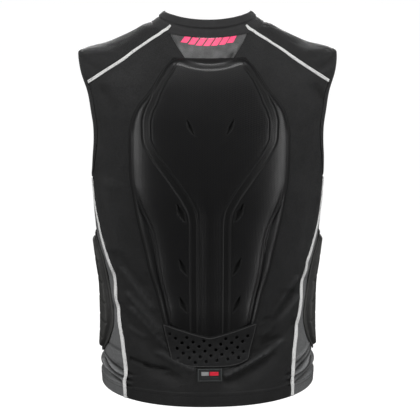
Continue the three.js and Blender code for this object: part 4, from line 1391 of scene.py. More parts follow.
    def yoke(self, side: Side) -> Piece:
        """The panel over one shoulder, from the back seam over the ridge to the front seam.

        Args:
            side: Which side.

        Returns:
            The panel.
        """
        pattern, body = self.maker.pattern, self.maker.body
        slit, steps = pattern.seam_slit, 56
        middle, radius, _ = pattern.armhole(pattern.binding_width)
        shares = self.shares(60)[None, :]
        out = evenly(0, 1, steps)[:, None]
        ridge = body.ridge_down(body_reach(body, pattern, out))
        around, down = [], []
        for behind in (True, False):
            end = pattern.seam_meets_armhole(behind)
            angle = math.acos((middle - end) / radius)
            seam = slit + (end - slit) * out
            turn = body.turn_at_x(pattern.lines["yoke"](seam) + slit / 2, seam)
            seam_y = np.abs(body.skin(turn if behind else math.pi - turn, seam)[..., 1])
            fan = np.abs(shares) * angle
            y = np.sign(shares) * seam_y * np.sin(fan) / math.sin(angle)
            level = ridge + (seam - ridge) * (1 - np.cos(fan)) / (1 - math.cos(angle))
            around.append(body.turn_at_y(y, level))
            down.append(level)
        is_back = np.broadcast_to(shares < 0, around[0].shape)
        turn, level = (np.where(is_back, *pair) for pair in (around, down))
        wrinkles = (
            Crease(-58, 62, -22, 46, -1.4, 6), Crease(-66, 74, -34, 60, 1.2, 6), Crease(-50, 52, -14, 38, 0.9, 6),
            Crease(-30, 30, 24, 34, -0.7, 8),
        )
        y = body.skin(turn, level)[..., 1]
        strength = 1.0 if side is Side.RIGHT else 0.45
        piece = self.sewn(f"shoulder_panel_jersey_{side.word}", side.value * turn, level, strength * lifted(wrinkles, y, level))
        return self.dressed(piece, self.maker.finishes.black_jersey, Slot.BLACK_JERSEY, f"shoulder_yoke_{side.word}")

    def nape(self) -> Piece:
        """The grey mesh inset at the nape, with the wrinkles at its lower right.

        Returns:
            The inset.
        """
        pattern, body = self.maker.pattern, self.maker.body
        slit = pattern.seam_slit
        rows = evenly(slit, pattern.nape_length - slit, 26)[:, None]
        x = self.shares(64)[None, :] * (pattern.nape_x(rows) - slit / 2)
        down = np.broadcast_to(rows, x.shape)
        around = body.turn_at_x(x, down)
        wrinkles = (
            Crease(21, 50, 37, 27, -2.4, 3.2), Crease(13, 50, 27, 30, 1.2, 3.2), Crease(29, 50, 44, 28, 1.7, 3.2),
            Crease(5, 48, 17, 33, -1.2, 3), Crease(-34, 47, -46, 20, 0.9, 4), Crease(36, 44, 50, 18, -1.1, 3.4),
        )
        piece = self.sewn("nape_inset_mesh", around, down, lifted(wrinkles, x, down))
        return self.dressed(piece, self.maker.finishes.nape_mesh, Slot.GREY_MESH, "nape_yoke")

    def hem_stitches(self) -> list[Piece]:
        """The two rows of stitching round the top of the hem band, dark on the grey sides.

        Returns:
            The rows of stitches.
        """
        body = self.maker.body
        around = evenly(-math.pi, math.pi, 720)[:-1]
        rows = []
        for needle in range(2):
            down = np.full_like(around, body.length - body.hem_band + 1.6 + needle * self.hem_needle_gap)
            height = body.lift(around, down) + self.hem_height(down)
            name, thread = f"hem_stitches_{needle + 1}", self.maker.finishes.dark_thread
            rows.append(self.seamed(name, around, down, height, Stitch(), thread, Slot.BLACK_JERSEY))
        return rows


def body_reach(body: BodyForm, pattern: Pattern, out: Grid) -> Grid:
    """How far out along the shoulder a share of its length is."""
    near, far = body.neck_half_width + 2, body.shoulder_half_width - pattern.binding_width
    return near + (far - near) * out


@dataclass
class NapePrint(SubAssembly):
    """A plain row of slanted bars printed on the nape's inset."""

    bars: int = 7
    half_width: float = 43
    top: float = 0.9
    tall: float = 12
    slant: float = 0.75
    gap: float = 2.2
    thickness: float = 0.25

    def build(self) -> Piece:
        """Makes the bars as one print.

        Returns:
            The print.
        """
        body = self.maker.body
        points, faces, uvs = [], [], []
        pitch = 2 * self.half_width / self.bars
        for number in range(self.bars):
            left = -self.half_width + number * pitch + self.gap / 2
            t = evenly(0, 1, 8)[:, None]
            s = evenly(0, 1, 6)[None, :]
            taper = 1 - 0.35 * abs(2 * (number + 0.5) / self.bars - 1) ** 2
            down = np.broadcast_to(self.top + t * self.tall * taper, (9, 7))
            x = left + s * (pitch - self.gap) + (0.5 - t) * self.slant * pitch * taper
            around = body.turn_at_x(x, down)
            seat = body.lift(around, down) + 0.12
            faces.append(shell_faces(*down.shape, first=2 * down.size * number))
            points += [body.raised(around, down, seat + lift).reshape(-1, 3) for lift in (self.thickness, -0.3)]
            uvs += [np.stack([x, down], axis=-1).reshape(-1, 2)] * 2
        joined_up = [np.concatenate(rows) for rows in (points, faces, uvs)]
        piece = self.maker.fabrication.mesh("nape_print_bars", *joined_up)
        return self.dressed(piece, self.maker.finishes.pink_print, Slot.GREY_MESH)


@dataclass
class Collar(SubAssembly):
    """The rib collar: a flat foot band, a tuck above it and a soft roll that stands round the neck."""

    back_height: float = 26
    side_height: float = 18
    side_dip: float = 2.2
    lean: float = 0.19
    seat: float = 0.45
    lap: float = 1.5
    steps: int = 260
    # How far up, as a share of the height, and how far out in millimetres
    face: tuple = (
        (0.02, 0.75), (0.12, 0.6), (0.22, 0.5), (0.31, 0.3), (0.36, -0.4), (0.42, -1.3), (0.48, -1.2), (0.53, -0.2),
        (0.57, 1.0), (0.61, 1.7), (0.65, 1.75), (0.7, 1.35), (0.77, 0.95), (0.86, 0.6), (0.94, 0.1), (1.0, -0.6),
        (1.04, -1.5), (1.045, -2.3), (1.01, -3.1), (0.93, -3.5), (0.8, -3.3), (0.6, -3.2), (0.4, -3.3), (0.2, -3.2),
        (0.02, -2.8),
    )

    def height(self, around: Grid) -> Grid:
        """How tall the collar stands."""
        tall = self.side_height + (self.back_height - self.side_height) * np.cos(around) ** 2
        return tall - self.side_dip * np.abs(np.sin(around)) ** 10

    def surface(self, around: Grid, up: Grid, out: Grid) -> Grid:
        """Points of the collar.

        Args:
            around: Turns round the neck.
            up: How far up, as a share of the height.
            out: How far out of its leaning line, in millimetres.

        Returns:
            An array with x, y and z in its last axis.
        """
        around, up, out = np.broadcast_arrays(around, up, out)
        foot = self.maker.body.skin(around, np.zeros_like(around))
        radial = foot * [1, 1, 0]
        radial /= np.linalg.norm(radial, axis=-1, keepdims=True)
        lean = 1 - self.lean * np.clip(up, 0, None) ** 0.8
        points = foot * np.stack([lean, lean, np.ones_like(lean)], axis=-1) + radial * out[..., None]
        points[..., 2] += self.seat + self.height(around) * up
        return points

    def foot_lap(self, around: Grid) -> Grid:
        """How far the foot band reaches down over the cloth, most of all over the inset's corners."""
        turn = np.degrees(np.abs(around))
        return 0.5 + self.lap * ease(8, 40, turn) * (1 - ease(58, 84, turn))

    def build(self) -> Piece:
        """Makes the collar.

        Returns:
            The collar.
        """
        body = self.maker.body
        around = ((np.arange(self.steps) + 0.5) / self.steps * 2 * math.pi - math.pi)[:, None]
        up, out = (np.array(column)[None, :] for column in zip(*self.face))
        roll = bump(up - 0.63, 0.12)
        out = out + roll * (0.35 * np.sin(around * 3 + 0.4) - 0.7 * (1 - np.cos(around) ** 2) * (up < 0.9))
        wavy = 0.2 * np.sin(around * 9) + 0.12 * np.sin(around * 23 + 1)
        tall = self.surface(around, up, out + wavy * ease(0.3, 0.6, up))
        lap = self.foot_lap(around)
        under = body.raised(around, lap * np.array([[0, 1, 1.06, 0.5]]), np.array([[-0.6, 0.1, 0.5, 0.8]]))
        points = np.concatenate([under, tall], axis=1)
        piece = self.maker.fabrication.loft("collar_rib", points, ring=True)
        return self.dressed(piece, self.maker.finishes.rib_knit, Slot.RIB_KNIT, "collar")

    def stitches(self) -> Piece:
        """The row of stitches along the foot band.

        Returns:
            The stitches.
        """
        around = evenly(-math.pi, math.pi, 400)[:-1]
        down, thread = self.foot_lap(around) * 0.35, self.maker.finishes.dark_thread
        return self.seamed("collar_stitches", around, down, 0.85, Stitch(2.2, 0.9, 0.26), thread, Slot.RIB_KNIT)


@dataclass
class ArmholeBindings(SubAssembly):
    """The narrow turned edges round the armholes."""

    extra: float = 0.7
    steps: int = 240

    def section(self) -> tuple[np.ndarray, np.ndarray]:
        """The binding's section: how far from the armhole's edge, and how high."""
        wide = self.maker.pattern.binding_width - 0.35
        low = -self.maker.body.cloth - self.extra
        rows = [
            (0.15, -0.8), (0.0, -0.25), (0.25, 0.3), (0.9, 0.62), (2, self.extra), (3.6, self.extra),
            (4.6, 0.35), (5.2, 0.3), (5.8, 0.6), (wide - 0.2, 0.45), (wide, 0), (wide, low),
            (wide + 3.4, low - 0.2), (wide + 3.4, low - 0.7), (3.4, low - 0.5), (1, low + 0.1), (0.35, low + 0.6),
        ]
        margin, height = (np.array(column) for column in zip(*rows))
        return margin, height

    def build(self, side: Side) -> Piece:
        """Makes one binding.

        Args:
            side: Which side.

        Returns:
            The binding.
        """
        body, pattern = self.maker.body, self.maker.pattern
        angle = (np.arange(self.steps) / self.steps * 2 * math.pi)[:, None]
        margin, height = self.section()
        around, down = pattern.armhole_place(angle, margin[None, :])
        height = height[None, :] + 0.16 * np.sin(angle * 47) * bump(margin[None, :] - 5, 1.2)
        sections = body.raised(side.value * around, down, height)
        piece = self.maker.fabrication.loft(f"armhole_edge_{side.word}", sections, ring=True)
        return self.dressed(piece, self.maker.finishes.rib_knit, Slot.RIB_KNIT, f"armhole_binding_{side.word}")

    def stitches(self, side: Side) -> Piece:
        """The row of stitches along one binding.

        Args:
            side: Which side.

        Returns:
            The stitches.
        """
        angle = np.arange(360) / 360 * 2 * math.pi
        around, down = self.maker.pattern.armhole_place(angle, np.full_like(angle, 4.9))
        name, thread = f"armhole_stitches_{side.word}", self.maker.finishes.dark_thread
        return self.seamed(name, side.value * around, down, 0.36, Stitch(2.2, 1.0, 0.25), thread, Slot.RIB_KNIT)


@dataclass
class Piping(SubAssembly):
    """Silver tape along the shoulder seams and the side seams."""

    shoulder_width: float = 5.4
    side_width: float = 6.4
    height: float = 1.6
    seat: float = 0.2
    wander: dict = field(
        default_factory=lambda: {
            Side.LEFT: ((240, 0), (330, 0.6), (372, -0.8), (420, 0.5), (520, 0.8), (583, 1.4), (594, -1.8), (625, 0.3)),
            Side.RIGHT: ((240, 0), (340, -0.5), (392, 1.0), (404, -2.0), (440, 0.6), (520, 0.8), (580, 0), (625, 1.6)),
        }
    )

    @staticmethod
    def tape(middle: Grid, out: Grid, section: Sequence[tuple[float, float]], widths: Grid, shift: Grid) -> Grid:
        """The sections of a tape along a path.

        Args:
            middle: Points of the path.
            out: Unit vectors out of the cloth at them.
            section: How far across, in half widths, and up, in millimetres, the tape's corners are.
            widths: Half widths along the path.
            shift: How far the tape wanders across at each point.

        Returns:
            Sections by points by 3.
        """
        across = np.cross(np.gradient(middle, axis=0), out)
        across /= np.linalg.norm(across, axis=-1, keepdims=True)
        wide, tall = (np.array(column) for column in zip(*section))
        offset = wide[None, :] * widths[:, None] + shift[:, None]
        return middle[:, None] + across[:, None] * offset[..., None] + out[:, None] * tall[None, :, None]

    def shoulder(self, side: Side, collar: Collar) -> Piece:
        """The doubled tape on one shoulder's back seam, up to the tuck over the collar's foot band.

        Args:
            side: Which side.
            collar: The collar.

        Returns:
            The tape.
        """
        body, pattern = self.maker.body, self.maker.pattern
        high = self.height
        roll = [(-1, 0.2), (-0.96, high * 0.55), (-0.8, high * 0.9), (-0.5, high), (-0.22, high * 0.8), (-0.06, high * 0.42)]
        section = roll + [(-wide, tall) for wide, tall in reversed(roll)] + [(0.8, -0.5), (-0.8, -0.5)]
        down = evenly(2.5, pattern.seam_meets_armhole(True) - 1.2, 90)
        around = side.value * pattern.yoke_turn(down)
        middle = body.raised(around, down, body.lift(around, down) + self.seat)
        up = evenly(0.36, 0.06, 6)
        turn = around[0] * (1 - 0.1 * up)
        band = collar.surface(turn, up, 0.55 + 0 * up)
        middle = np.concatenate([band, middle])
        out = np.concatenate([np.repeat(body.outward(turn, 0 * up), 1, axis=0), body.outward(around, down)])
        run = np.arange(len(middle))
        widths = self.shoulder_width / 2 * (1 + 0.05 * np.sin(run / 6.1)) * np.clip(0.6 + run / 12, 0, 1)
        sections = self.tape(middle, out, section, widths, 0.2 * np.sin(run / 9.3))
        piece = self.maker.fabrication.loft(f"shoulder_tape_{side.word}", sections)
        return self.dressed(piece, self.maker.finishes.silver_piping, Slot.SILVER_PIPING, f"shoulder_piping_{side.word}")

    def side(self, side: Side) -> Piece:
        """The tape on one side seam, which is narrower at the top.

        Args:
            side: Which side.

        Returns:
            The tape.
        """
        pattern, body = self.maker.pattern, self.maker.body
        high = self.height
        half = [(-1, 0.1), (-0.97, high * 0.45), (-0.85, high * 0.82), (-0.5, high), (0, high * 0.96)]
        section = half + [(-wide, tall) for wide, tall in reversed(half[:-1])] + [(0.8, -0.6), (-0.8, -0.6)]
        start = pattern.armhole_meets_side(True) + self.side_width / 2 + 0.6
        down = evenly(start, body.length - 0.3, 260)
        around = side.value * pattern.side_turn(down)
        growth = Line([(start, 0.72), (330, 0.86), (400, 1.08), (560, 1.18), (598, 1.05), (625, 1)])(down)
        widths = self.side_width / 2 * growth * (1 + 0.05 * np.sin(down / 4.3))
        shift = side.value * Line(self.wander[side])(down) + 0.25 * np.sin(down / 7.7)
        seat = body.lift(around, down, pleats=False) + Panels(self.maker).hem_height(down) + self.seat
        sections = self.tape(body.raised(around, down, seat), body.outward(around, down), section, widths, shift)
        piece = self.maker.fabrication.loft(f"side_tape_{side.word}", sections)
        return self.dressed(piece, self.maker.finishes.silver_piping, Slot.SILVER_PIPING, f"side_piping_{side.word}")


@dataclass
class BackProtector(SubAssembly):
    """The moulded spine protector under its honeycomb mesh, with the perforated patch over its foot."""

    top: float = 35
    length: float = 480
    half_width: float = 128
    height: float = 16
    edge_height: float = 2.6
    seat: float = 1.4
    foot_taper: float = 62
    edge_round: float = 11
    plate_dip: float = 11
    channel: float = 11.5
    vent_depth: float = 3.2
    vent_lean: float = 23
    row_pitch: float = 2.9
    vent_row_pitch: float = 1.3
    # Down as a share of the length; outline, crease and keyhole as shares of the half width
    outline: tuple = (
        (0, 0.4375, 0.39, 0.344), (0.023, 0.523, 0.485, 0.441), (0.052, 0.602, 0.555, 0.508),
        (0.091, 0.68, 0.633, 0.594), (0.131, 0.775, 0.719, 0.656), (0.159, 0.854, 0.781, 0.691),
        (0.192, 0.925, 0.836, 0.744), (0.233, 0.974, 0.879, 0.773), (0.283, 1, 0.898, 0.768),
        (0.339, 1, 0.906, 0.68), (0.393, 0.998, 0.906, 0.547), (0.447, 0.985, 0.902, 0.414),
        (0.49, 0.958, 0.885, 0.309), (0.544, 0.93, 0.82, 0.219), (0.588, 0.898, 0.742, 0.203),
        (0.632, 0.862, 0.691, 0.203), (0.69, 0.811, 0.659, 0.203), (0.75, 0.767, 0.629, 0.203),
        (0.794, 0.718, 0.602, 0.203), (0.842, 0.666, 0.559, 0.2), (0.923, 0.595, 0.5, 0.2),
        (1, 0.508, 0.445, 0.2),
    )
    # Down, out, half width and length of the leaning vents
    vents: tuple = (
        (0.242, 0.244, 0.024, 0.068), (0.5375, 0.356, 0.038, 0.0765), (0.729, 0.333, 0.034, 0.072), (0.8635, 0.333, 0.034, 0.068),
    )

    def line(self, column: int, down: Grid) -> Grid:
        """One of the protector's lines: 1 its outline, 2 its crease and 3 its keyhole."""
        return scaled(self.outline, self.length, self.half_width, column)(down - self.top)

    @property
    def bottom(self) -> float:
        """The level of its foot."""
        return self.top + self.length

    def columns(self, down: np.ndarray) -> Grid:
        """Distances from the middle of each row's points, close together at the grooves and the edge."""
        edge, crease, keyhole = (self.line(k, down) for k in (1, 2, 3))
        by_keyhole = np.minimum(9, 0.4 * (crease - keyhole))
        by_crease = np.minimum(6, 0.3 * (edge - crease))
        stops = [np.zeros_like(edge), keyhole - 11, keyhole + by_keyhole, crease - by_crease, crease + by_crease, edge]
        steps = (26, 22, 27, 9, 14)
        first = joined(evenly(0, 0.24, 4), evenly(0.24, 0.54, 15), evenly(0.54, 1, 7))[1:]
        parts = []
        for (start, stop), count in zip(zip(stops[:-1], stops[1:]), steps):
            share = first if start is stops[0] else np.arange(1, count + 1) / count
            if stop is edge:
                share = 1 - (1 - share) ** 1.8
            parts.append(start[:, None] + (stop - start)[:, None] * share[None, :])
        right = np.concatenate(parts, axis=1)
        return np.concatenate([-right[:, ::-1], np.zeros((len(down), 1)), right], axis=1)

    def vent_distance(self, x: Grid, down: Grid) -> Grid:
        """How far outside the nearest vent a place is, below zero inside."""
        lean = math.radians(self.vent_lean)
        nearest = np.full(x.shape, 1e3)
        for level, out, wide, tall in self.vents:
            u = np.abs(x) - out * self.half_width
            v = down - self.top - level * self.length
            along = v * math.cos(lean) - u * math.sin(lean)
            across = u * math.cos(lean) + v * math.sin(lean)
            half, reach = wide * self.half_width, tall * self.length / 2
            bent = across + 0.06 * along**2 / reach
            leaf = np.abs(bent) / half + np.abs(along / reach) ** 1.35 - 1
            nearest = np.minimum(nearest, leaf * half)
        return nearest

    def inset(self, column: int, x: Grid, down: Grid) -> Grid:
        """How far inside one of its lines a place is."""
        slope = (self.line(column, down + 1) - self.line(column, down - 1)) / 2
        return (self.line(column, down) - np.abs(x)) / np.hypot(1, slope)

    def crease_share(self, down: Grid) -> Grid:
        """How far the lower creases have set in at a level, from 0 to 1."""
        return ease(0.46, 0.53, (down - self.top) / self.length) * ease(0, 40, self.bottom - down)

    def relief(self, x: Grid, down: Grid) -> Grid:
        """The protector's height over the cloth.

        Args:
            x: Distances from the middle of the back.
            down: Levels.

        Returns:
            Heights in millimetres.
        """
        edge, crease = self.line(1, down), self.line(2, down)
        inward, pinch, inside = (self.inset(column, x, down) for column in (1, 2, 3))
        from_top, from_foot = down - self.top, self.bottom - down
        rim = self.rounded(inward, from_top, 9)
        edge_rise = np.sqrt(np.clip(1 - (1 - np.clip(rim / self.edge_round, 0, 1)) ** 2, 0, 1))
        waist = ease(0.44, 0.56, from_top / self.length)
        share = np.clip(np.abs(x) / np.maximum(edge - 0.7 * waist * (edge - crease), 1), 0, 1)
        across = (1 - share ** (28 - 21.2 * ease(50, 135, from_top))) ** 0.7
        fall = np.sin(QUARTER * np.clip(from_foot / self.foot_taper, 0, 1))
        flange = 0.5 - 0.2 * waist
        body = self.edge_height + (self.height - self.edge_height) * np.maximum(across, flange * edge_rise) * fall
        body = self.edge_height + (body - self.edge_height) * edge_rise
        dome = ease(-3, 11, from_top - self.plate_top(x))
        body = body - 5 * (1 - dome) * edge_rise
        upper = 1 - ease(0.5, 0.62, from_top / self.length)
        body = body + (0.35 * ease(-1, 5, inside) * upper + 0.2) * edge_rise * fall
        near_top = ease(6, 30, from_top)
        wide = self.channel / 2
        channel = ease(-wide - 1.6, -wide + 1.2, inside) * (1 - ease(wide - 2.2, wide + 0.2, inside))
        bead = bump(inside - wide - 0.6, 1.3) * 0.5 - bump(inside - wide - 3.2, 1.2) * 0.4
        low = 1 - 0.62 * ease(0.44, 0.6, from_top / self.length)
        walls = bump(inside + wide - 0.7, 1.5) + 0.8 * bump(inside - wide + 0.9, 1.3)
        body = body + (bead - 1.5 * low * channel - 0.45 * walls) * near_top * ease(2, 22, from_foot)
        body = body - (bump(pinch - 2.4, 1.4) * 1.3 + bump(pinch + 2.2, 1.2)) * self.crease_share(down)
        sunk = self.vent_depth * (1 - ease(-1.9, 0.3, self.vent_distance(x, down)))
        seam = (1 - ease(1.2, 4.2, rim)) * (self.edge_height - 0.7)
        return self.seat + np.maximum(body - sunk - seam, 0.6)

    def plate_top(self, x: Grid) -> Grid:
        """How far below the top the plate's wavy upper edge lies."""
        return self.plate_dip * (0.45 + 0.75 * np.clip(1 - (x / 44) ** 2, 0, 1))

    def shade(self, x: Grid, down: Grid) -> Grid:
        """How deep in a vent, a groove or the edge seam a place lies, from 0 to 1, as painted shade; the lip over the
        plate's top edge gets painted shade too.
        """
        inward, pinch, inside = (self.inset(column, x, down) for column in (1, 2, 3))
        from_top, from_foot = down - self.top, self.bottom - down
        wide = self.channel / 2
        # Painted shade in the channel's walls and floor and along the lower creases.
        walls = np.maximum(bump(inside + wide - 0.2, 2.3), 0.9 * bump(inside - wide + 0.9, 1.9))
        floor = 0.4 * ease(-wide, -wide + 2, inside) * (1 - ease(wide - 3, wide - 1, inside))
        grooves = np.maximum(0.8 * walls, floor) * ease(8, 34, from_top) * ease(2, 22, from_foot)
        grooves = np.maximum(grooves, 0.7 * self.crease_share(down) * bump(pinch - 2.4, 1.6))
        # Painted shade on the lip over the plate's top edge, which faces up to the light.
        lip = 1 - ease(-3.5, 0.5, from_top - self.plate_top(x))
        spread = 0.6 * ease(0.42, 0.56, from_top / self.length)
        # Painted shade along the crease round the protector's edge.
        seam = np.maximum(1 - ease(2.6 + spread, 5.4 + 2 * spread, inward), lip)
        # Painted shade inside the vents.
        vents = 1 - ease(0.4, 2.0, self.vent_distance(x, down))
        return np.maximum(np.maximum(grooves, 0.92 * seam), vents)

    @staticmethod
    def rounded(first: Grid, second: Grid, radius: float) -> Grid:
        """The distance to a rounded corner between two edges.

        Args:
            first: The distance to one edge.
            second: The distance to the other.
            radius: The corner's radius.

        Returns:
            The distance, below zero outside.
        """
        gap = np.hypot(*(np.clip(radius - distance, 0, None) for distance in (first, second)))
        at_corner = (first < radius) & (second < radius) & ((first > 0) | (second > 0))
        return np.where(at_corner, radius - gap, np.minimum(first, second))

    def build(self) -> Piece:
        """Makes the protector.

        Returns:
            The protector, with its vents, grooves and edge seam marked for its finish to paint shade in.
        """
        body = self.maker.body
        stretches, start = [evenly(self.top, self.top + 24, 18)], self.top + 24
        for level, _, _, tall in self.vents:
            middle, reach = self.top + level * self.length, tall * self.length / 2 + 3
            stretches.append(evenly(start, middle - reach, round((middle - reach - start) / self.row_pitch)))
            stretches.append(evenly(middle - reach, middle + reach, round(2 * reach / self.vent_row_pitch)))
            start = middle + reach
        stretches.append(evenly(start, self.bottom - 6, round((self.bottom - 6 - start) / self.row_pitch)))
        rows = joined(*stretches, evenly(self.bottom - 6, self.bottom, 4))
        x = self.columns(rows)
        down = np.broadcast_to(rows[:, None], x.shape)
        around = body.turn_at_x(x, down)
        outer = body.raised(around, down, self.relief(x, down))
        inner = body.raised(around, down, self.seat)
        plain = body.skin(around, down)
        shade = self.shade(x, down)
        uv = np.stack([lengths(plain), drops(plain)], axis=-1)
        piece = self.maker.fabrication.shell("protector_pad", outer, inner, uv)
        self.dressed(piece, self.maker.finishes.pad_mesh, Slot.PAD_MESH, "back_protector")
        # Painted shade: the marks that the pad's finish darkens.
        self.maker.fabrication.mark(piece, "shade", shade)
        return piece

    def edge_cord(self) -> Piece:
        """The narrow sewn welt where the protector's mesh cover meets the jersey.

        Returns:
            The welt.
        """
        body = self.maker.body
        side_down = evenly(self.top + 3, self.bottom - 2, 220)
        side_x = self.line(1, side_down) + 0.5
        corner = evenly(0, 1, 8)[:-1]
        head = side_x[0] - 3
        top_x = evenly(-head, head, 40)
        bend_x = head + 3 * np.sin(QUARTER * corner)
        bend_down = self.top - 0.9 + 3.9 * (1 - np.cos(QUARTER * corner))
        x = np.concatenate([top_x[:-1], bend_x, side_x, -side_x[::-1], -bend_x[::-1]])
        down = np.concatenate([np.full(40, self.top - 0.9), bend_down, side_down, side_down[::-1], bend_down[::-1]])
        down = np.clip(down, self.top - 0.9, self.bottom)
        around = body.turn_at_x(x, down)
        out = body.outward(around, down)
        middle = body.raised(around, down, body.lift(around, down) + 0.7)
        piece = self.maker.fabrication.tube("protector_welt", middle, out, 1.1, 0.6)
        return self.dressed(piece, self.maker.finishes.dark_thread, Slot.PAD_MESH)


@dataclass
class LumbarPatch(SubAssembly):
    """The thin perforated patch over the protector's foot."""

    protector: BackProtector
    lap: float = 31
    length: float = 73
    half_width: float = 73.5
    foot_half_width: float = 60.5
    thickness: float = 2
    sag: float = 24
    corner_rise: float = 11
    taper: float = 1.2
    hole: float = 5.6
    pitch: float = 17.8
    tilt: float = -6
    margin: float = 6
    seat_gap: float = 0.45

    @property
    def top(self) -> float:
        """The level of its top corners."""
        return self.protector.bottom - self.lap

    def half(self, down: Grid) -> Grid:
        """Half its width at a level."""
        share = np.clip((down - self.top) / self.length, 0, 1)
        return self.half_width + (self.foot_half_width - self.half_width) * share**self.taper

    def top_line(self, share: Grid) -> Grid:
        """The level of its sagging top edge at a share of its half width."""
        return self.top + self.sag * (1 - np.abs(share) ** self.taper)

    def foot_line(self, share: Grid) -> Grid:
        """The level of its lower edge at a share of its half width."""
        return self.top + self.length - self.corner_rise * share**4

    def seat(self, down: Grid) -> Grid:
        """How high the patch lies over the protector's foot and the cloth below it."""
        pad = self.protector
        level = np.minimum(down, pad.bottom)
        fall = np.sin(QUARTER * np.clip((pad.bottom - level) / pad.foot_taper, 0, 1))
        high = pad.seat + pad.edge_height + (pad.height - pad.edge_height) * fall
        below = np.clip((down - pad.bottom) / self.pitch, 0, 1)
        return high * (1 - below) + self.seat_gap

    def border(self, inset: float, steps: int = 60) -> np.ndarray:
        """Points round the patch, in millimetres across and down.

        Args:
            inset: How far inside the outline they are.
            steps: How many points along the top edge and as many below.

        Returns:
            An array of points, without a repeated last one.
        """
        s = evenly(-1, 1, steps)
        shrink = 1 - inset / self.half_width
        top = [(share * shrink, self.top_line(share) + inset) for share in s]
        foot = [(share * shrink, self.foot_line(share) - inset) for share in s[::-1]]
        corners = [(-1 * shrink, level) for level in evenly(float(foot[-1][1]), float(top[0][1]), 14)[1:-1]]
        right = [(shrink, level) for level in evenly(float(top[-1][1]), float(foot[0][1]), 14)[1:-1]]
        ring = np.array(top + right + foot + corners)
        return np.stack([ring[:, 0] * self.half(ring[:, 1]), ring[:, 1]], axis=-1)

    def holes(self) -> list[tuple[float, float]]:
        """The middles of the punched holes, across and down."""
        spots = []
        row_pitch, middle = self.pitch / 2, self.top + self.length / 2
        tilt = math.radians(self.tilt)
        reach = math.ceil(self.half_width / row_pitch)
        for row in range(-reach, reach + 1):
            for column in range(-reach, reach + 1):
                u, v = (column + (row % 2 if row >= 0 else -(-row % 2)) / 2) * self.pitch, row * row_pitch
                x = u * math.cos(tilt) - v * math.sin(tilt)
                down = middle + u * math.sin(tilt) + v * math.cos(tilt)
                half = float(self.half(down))
                top, foot = float(self.top_line(x / half)), float(self.foot_line(x / half))
                if abs(x) < half - self.margin and top + self.margin < down < foot - self.margin:
                    spots.append((x, down))
        return spots

    def build(self) -> Piece:
        """Makes the patch with real holes.

        Returns:
            The patch.
        """
        body = self.maker.body
        border = self.border(0)
        spots = self.holes()
        turns = np.arange(18) / 18 * 2 * math.pi
        radius = self.hole / 2
        rings = [np.array([[x + radius * math.cos(t), d + radius * math.sin(t)] for t in turns]) for x, d in spots]
        filler = self.filler(border, spots)
        flat = np.concatenate([border, *rings, filler])
        loops, first = [], 0
        for ring in (border, *rings):
            loops.append(list(range(first, first + len(ring))))
            first += len(ring)
        edges = [(loop[k], loop[(k + 1) % len(loop)]) for loop in loops for k in range(len(loop))]
        result = delaunay_2d_cdt([Vector(point) for point in flat.tolist()], edges, [], 0, 1e-5)
        points, corners = np.array([tuple(point) for point in result[0]]), np.array(result[2])
        middle = points[corners].mean(axis=1)
        keep = self.inside(border, middle)
        for x, down in spots:
            keep &= np.hypot(middle[:, 0] - x, middle[:, 1] - down) > radius * 0.97
        corners = corners[keep]
        return self.thicken(points, corners)

    def filler(self, border: np.ndarray, spots: list[tuple[float, float]]) -> np.ndarray:
        """Points inside the patch, clear of its border and of its holes."""
        x, down = np.meshgrid(np.arange(-78, 78.1, 2.6), np.arange(self.top, self.top + self.length, 2.6))
        points = np.stack([x.ravel() + 0.13, down.ravel() + 0.07], axis=-1)
        inner = self.border(1.6)
        keep = self.inside(inner, points)
        for spot in spots:
            keep &= np.hypot(*(points - spot).T) > self.hole / 2 + 0.9
        return points[keep]

    @staticmethod
    def inside(ring: np.ndarray, points: np.ndarray) -> np.ndarray:
        """Which points lie inside a ring of points."""
        x, y = points[:, 0][:, None], points[:, 1][:, None]
        ax, ay = ring[:, 0][None, :], ring[:, 1][None, :]
        bx, by = np.roll(ring[:, 0], -1)[None, :], np.roll(ring[:, 1], -1)[None, :]
        straddles = (ay > y) != (by > y)
        reach = ax + (y - ay) * (bx - ax) / np.where(by == ay, 1, by - ay)
        return (straddles & (x < reach)).sum(axis=1) % 2 == 1

    def thicken(self, points: np.ndarray, corners: np.ndarray) -> Piece:
        """Gives the flat cut its thickness and lays it over the back.

        Args:
            points: Points across and down.
            corners: Three point numbers a face.

        Returns:
            The patch.
        """
        body = self.maker.body
        x, down = points[:, 0], points[:, 1]
        around = body.turn_at_x(x, down)
        seat = self.seat(down)
        sides = np.concatenate([corners[:, [0, 1]], corners[:, [1, 2]], corners[:, [2, 0]]])
        _, where, times = np.unique(np.sort(sides, axis=1), axis=0, return_index=True, return_counts=True)
        rim = sides[where[times == 1]]
        on_rim = np.zeros(len(points), dtype=bool)
        on_rim[rim.ravel()] = True
        top = body.raised(around, down, seat + self.thickness - np.where(on_rim, 0.45, 0))
        under = body.raised(around, down, seat)
        count = len(points)
        walls = [[b, a, a + count, b + count] for a, b in rim]
        faces = [*corners.tolist(), *(corners[:, ::-1] + count).tolist(), *walls]
        uv = np.concatenate([points, points])
        piece = self.maker.fabrication.mesh("lumbar_patch_foam", np.concatenate([top, under]), faces, uv)
        return self.dressed(piece, self.maker.finishes.perforated_foam, Slot.PERFORATED_FOAM, "lumbar_patch")

    def edging(self, name: str, inset: float, level: float, wide: float, finish: ThreadFinish) -> Piece:
        """A line sewn round the patch, or a dark ring just outside it that stands for the patch's shadow.

        Args:
            name: The piece's name.
            inset: How far inside the patch's outline it runs.
            level: How high over the patch's seat it runs.
            wide: Half its width.
            finish: Its finish.

        Returns:
            The line.
        """
        body = self.maker.body
        ring = self.border(inset, 90)
        around = body.turn_at_x(ring[:, 0], ring[:, 1])
        out = body.outward(around, ring[:, 1])
        middle = body.raised(around, ring[:, 1], self.seat(ring[:, 1]) + level)
        piece = self.maker.fabrication.tube(name, middle, out, wide, 0.42)
        return self.dressed(piece, finish, Slot.PERFORATED_FOAM)


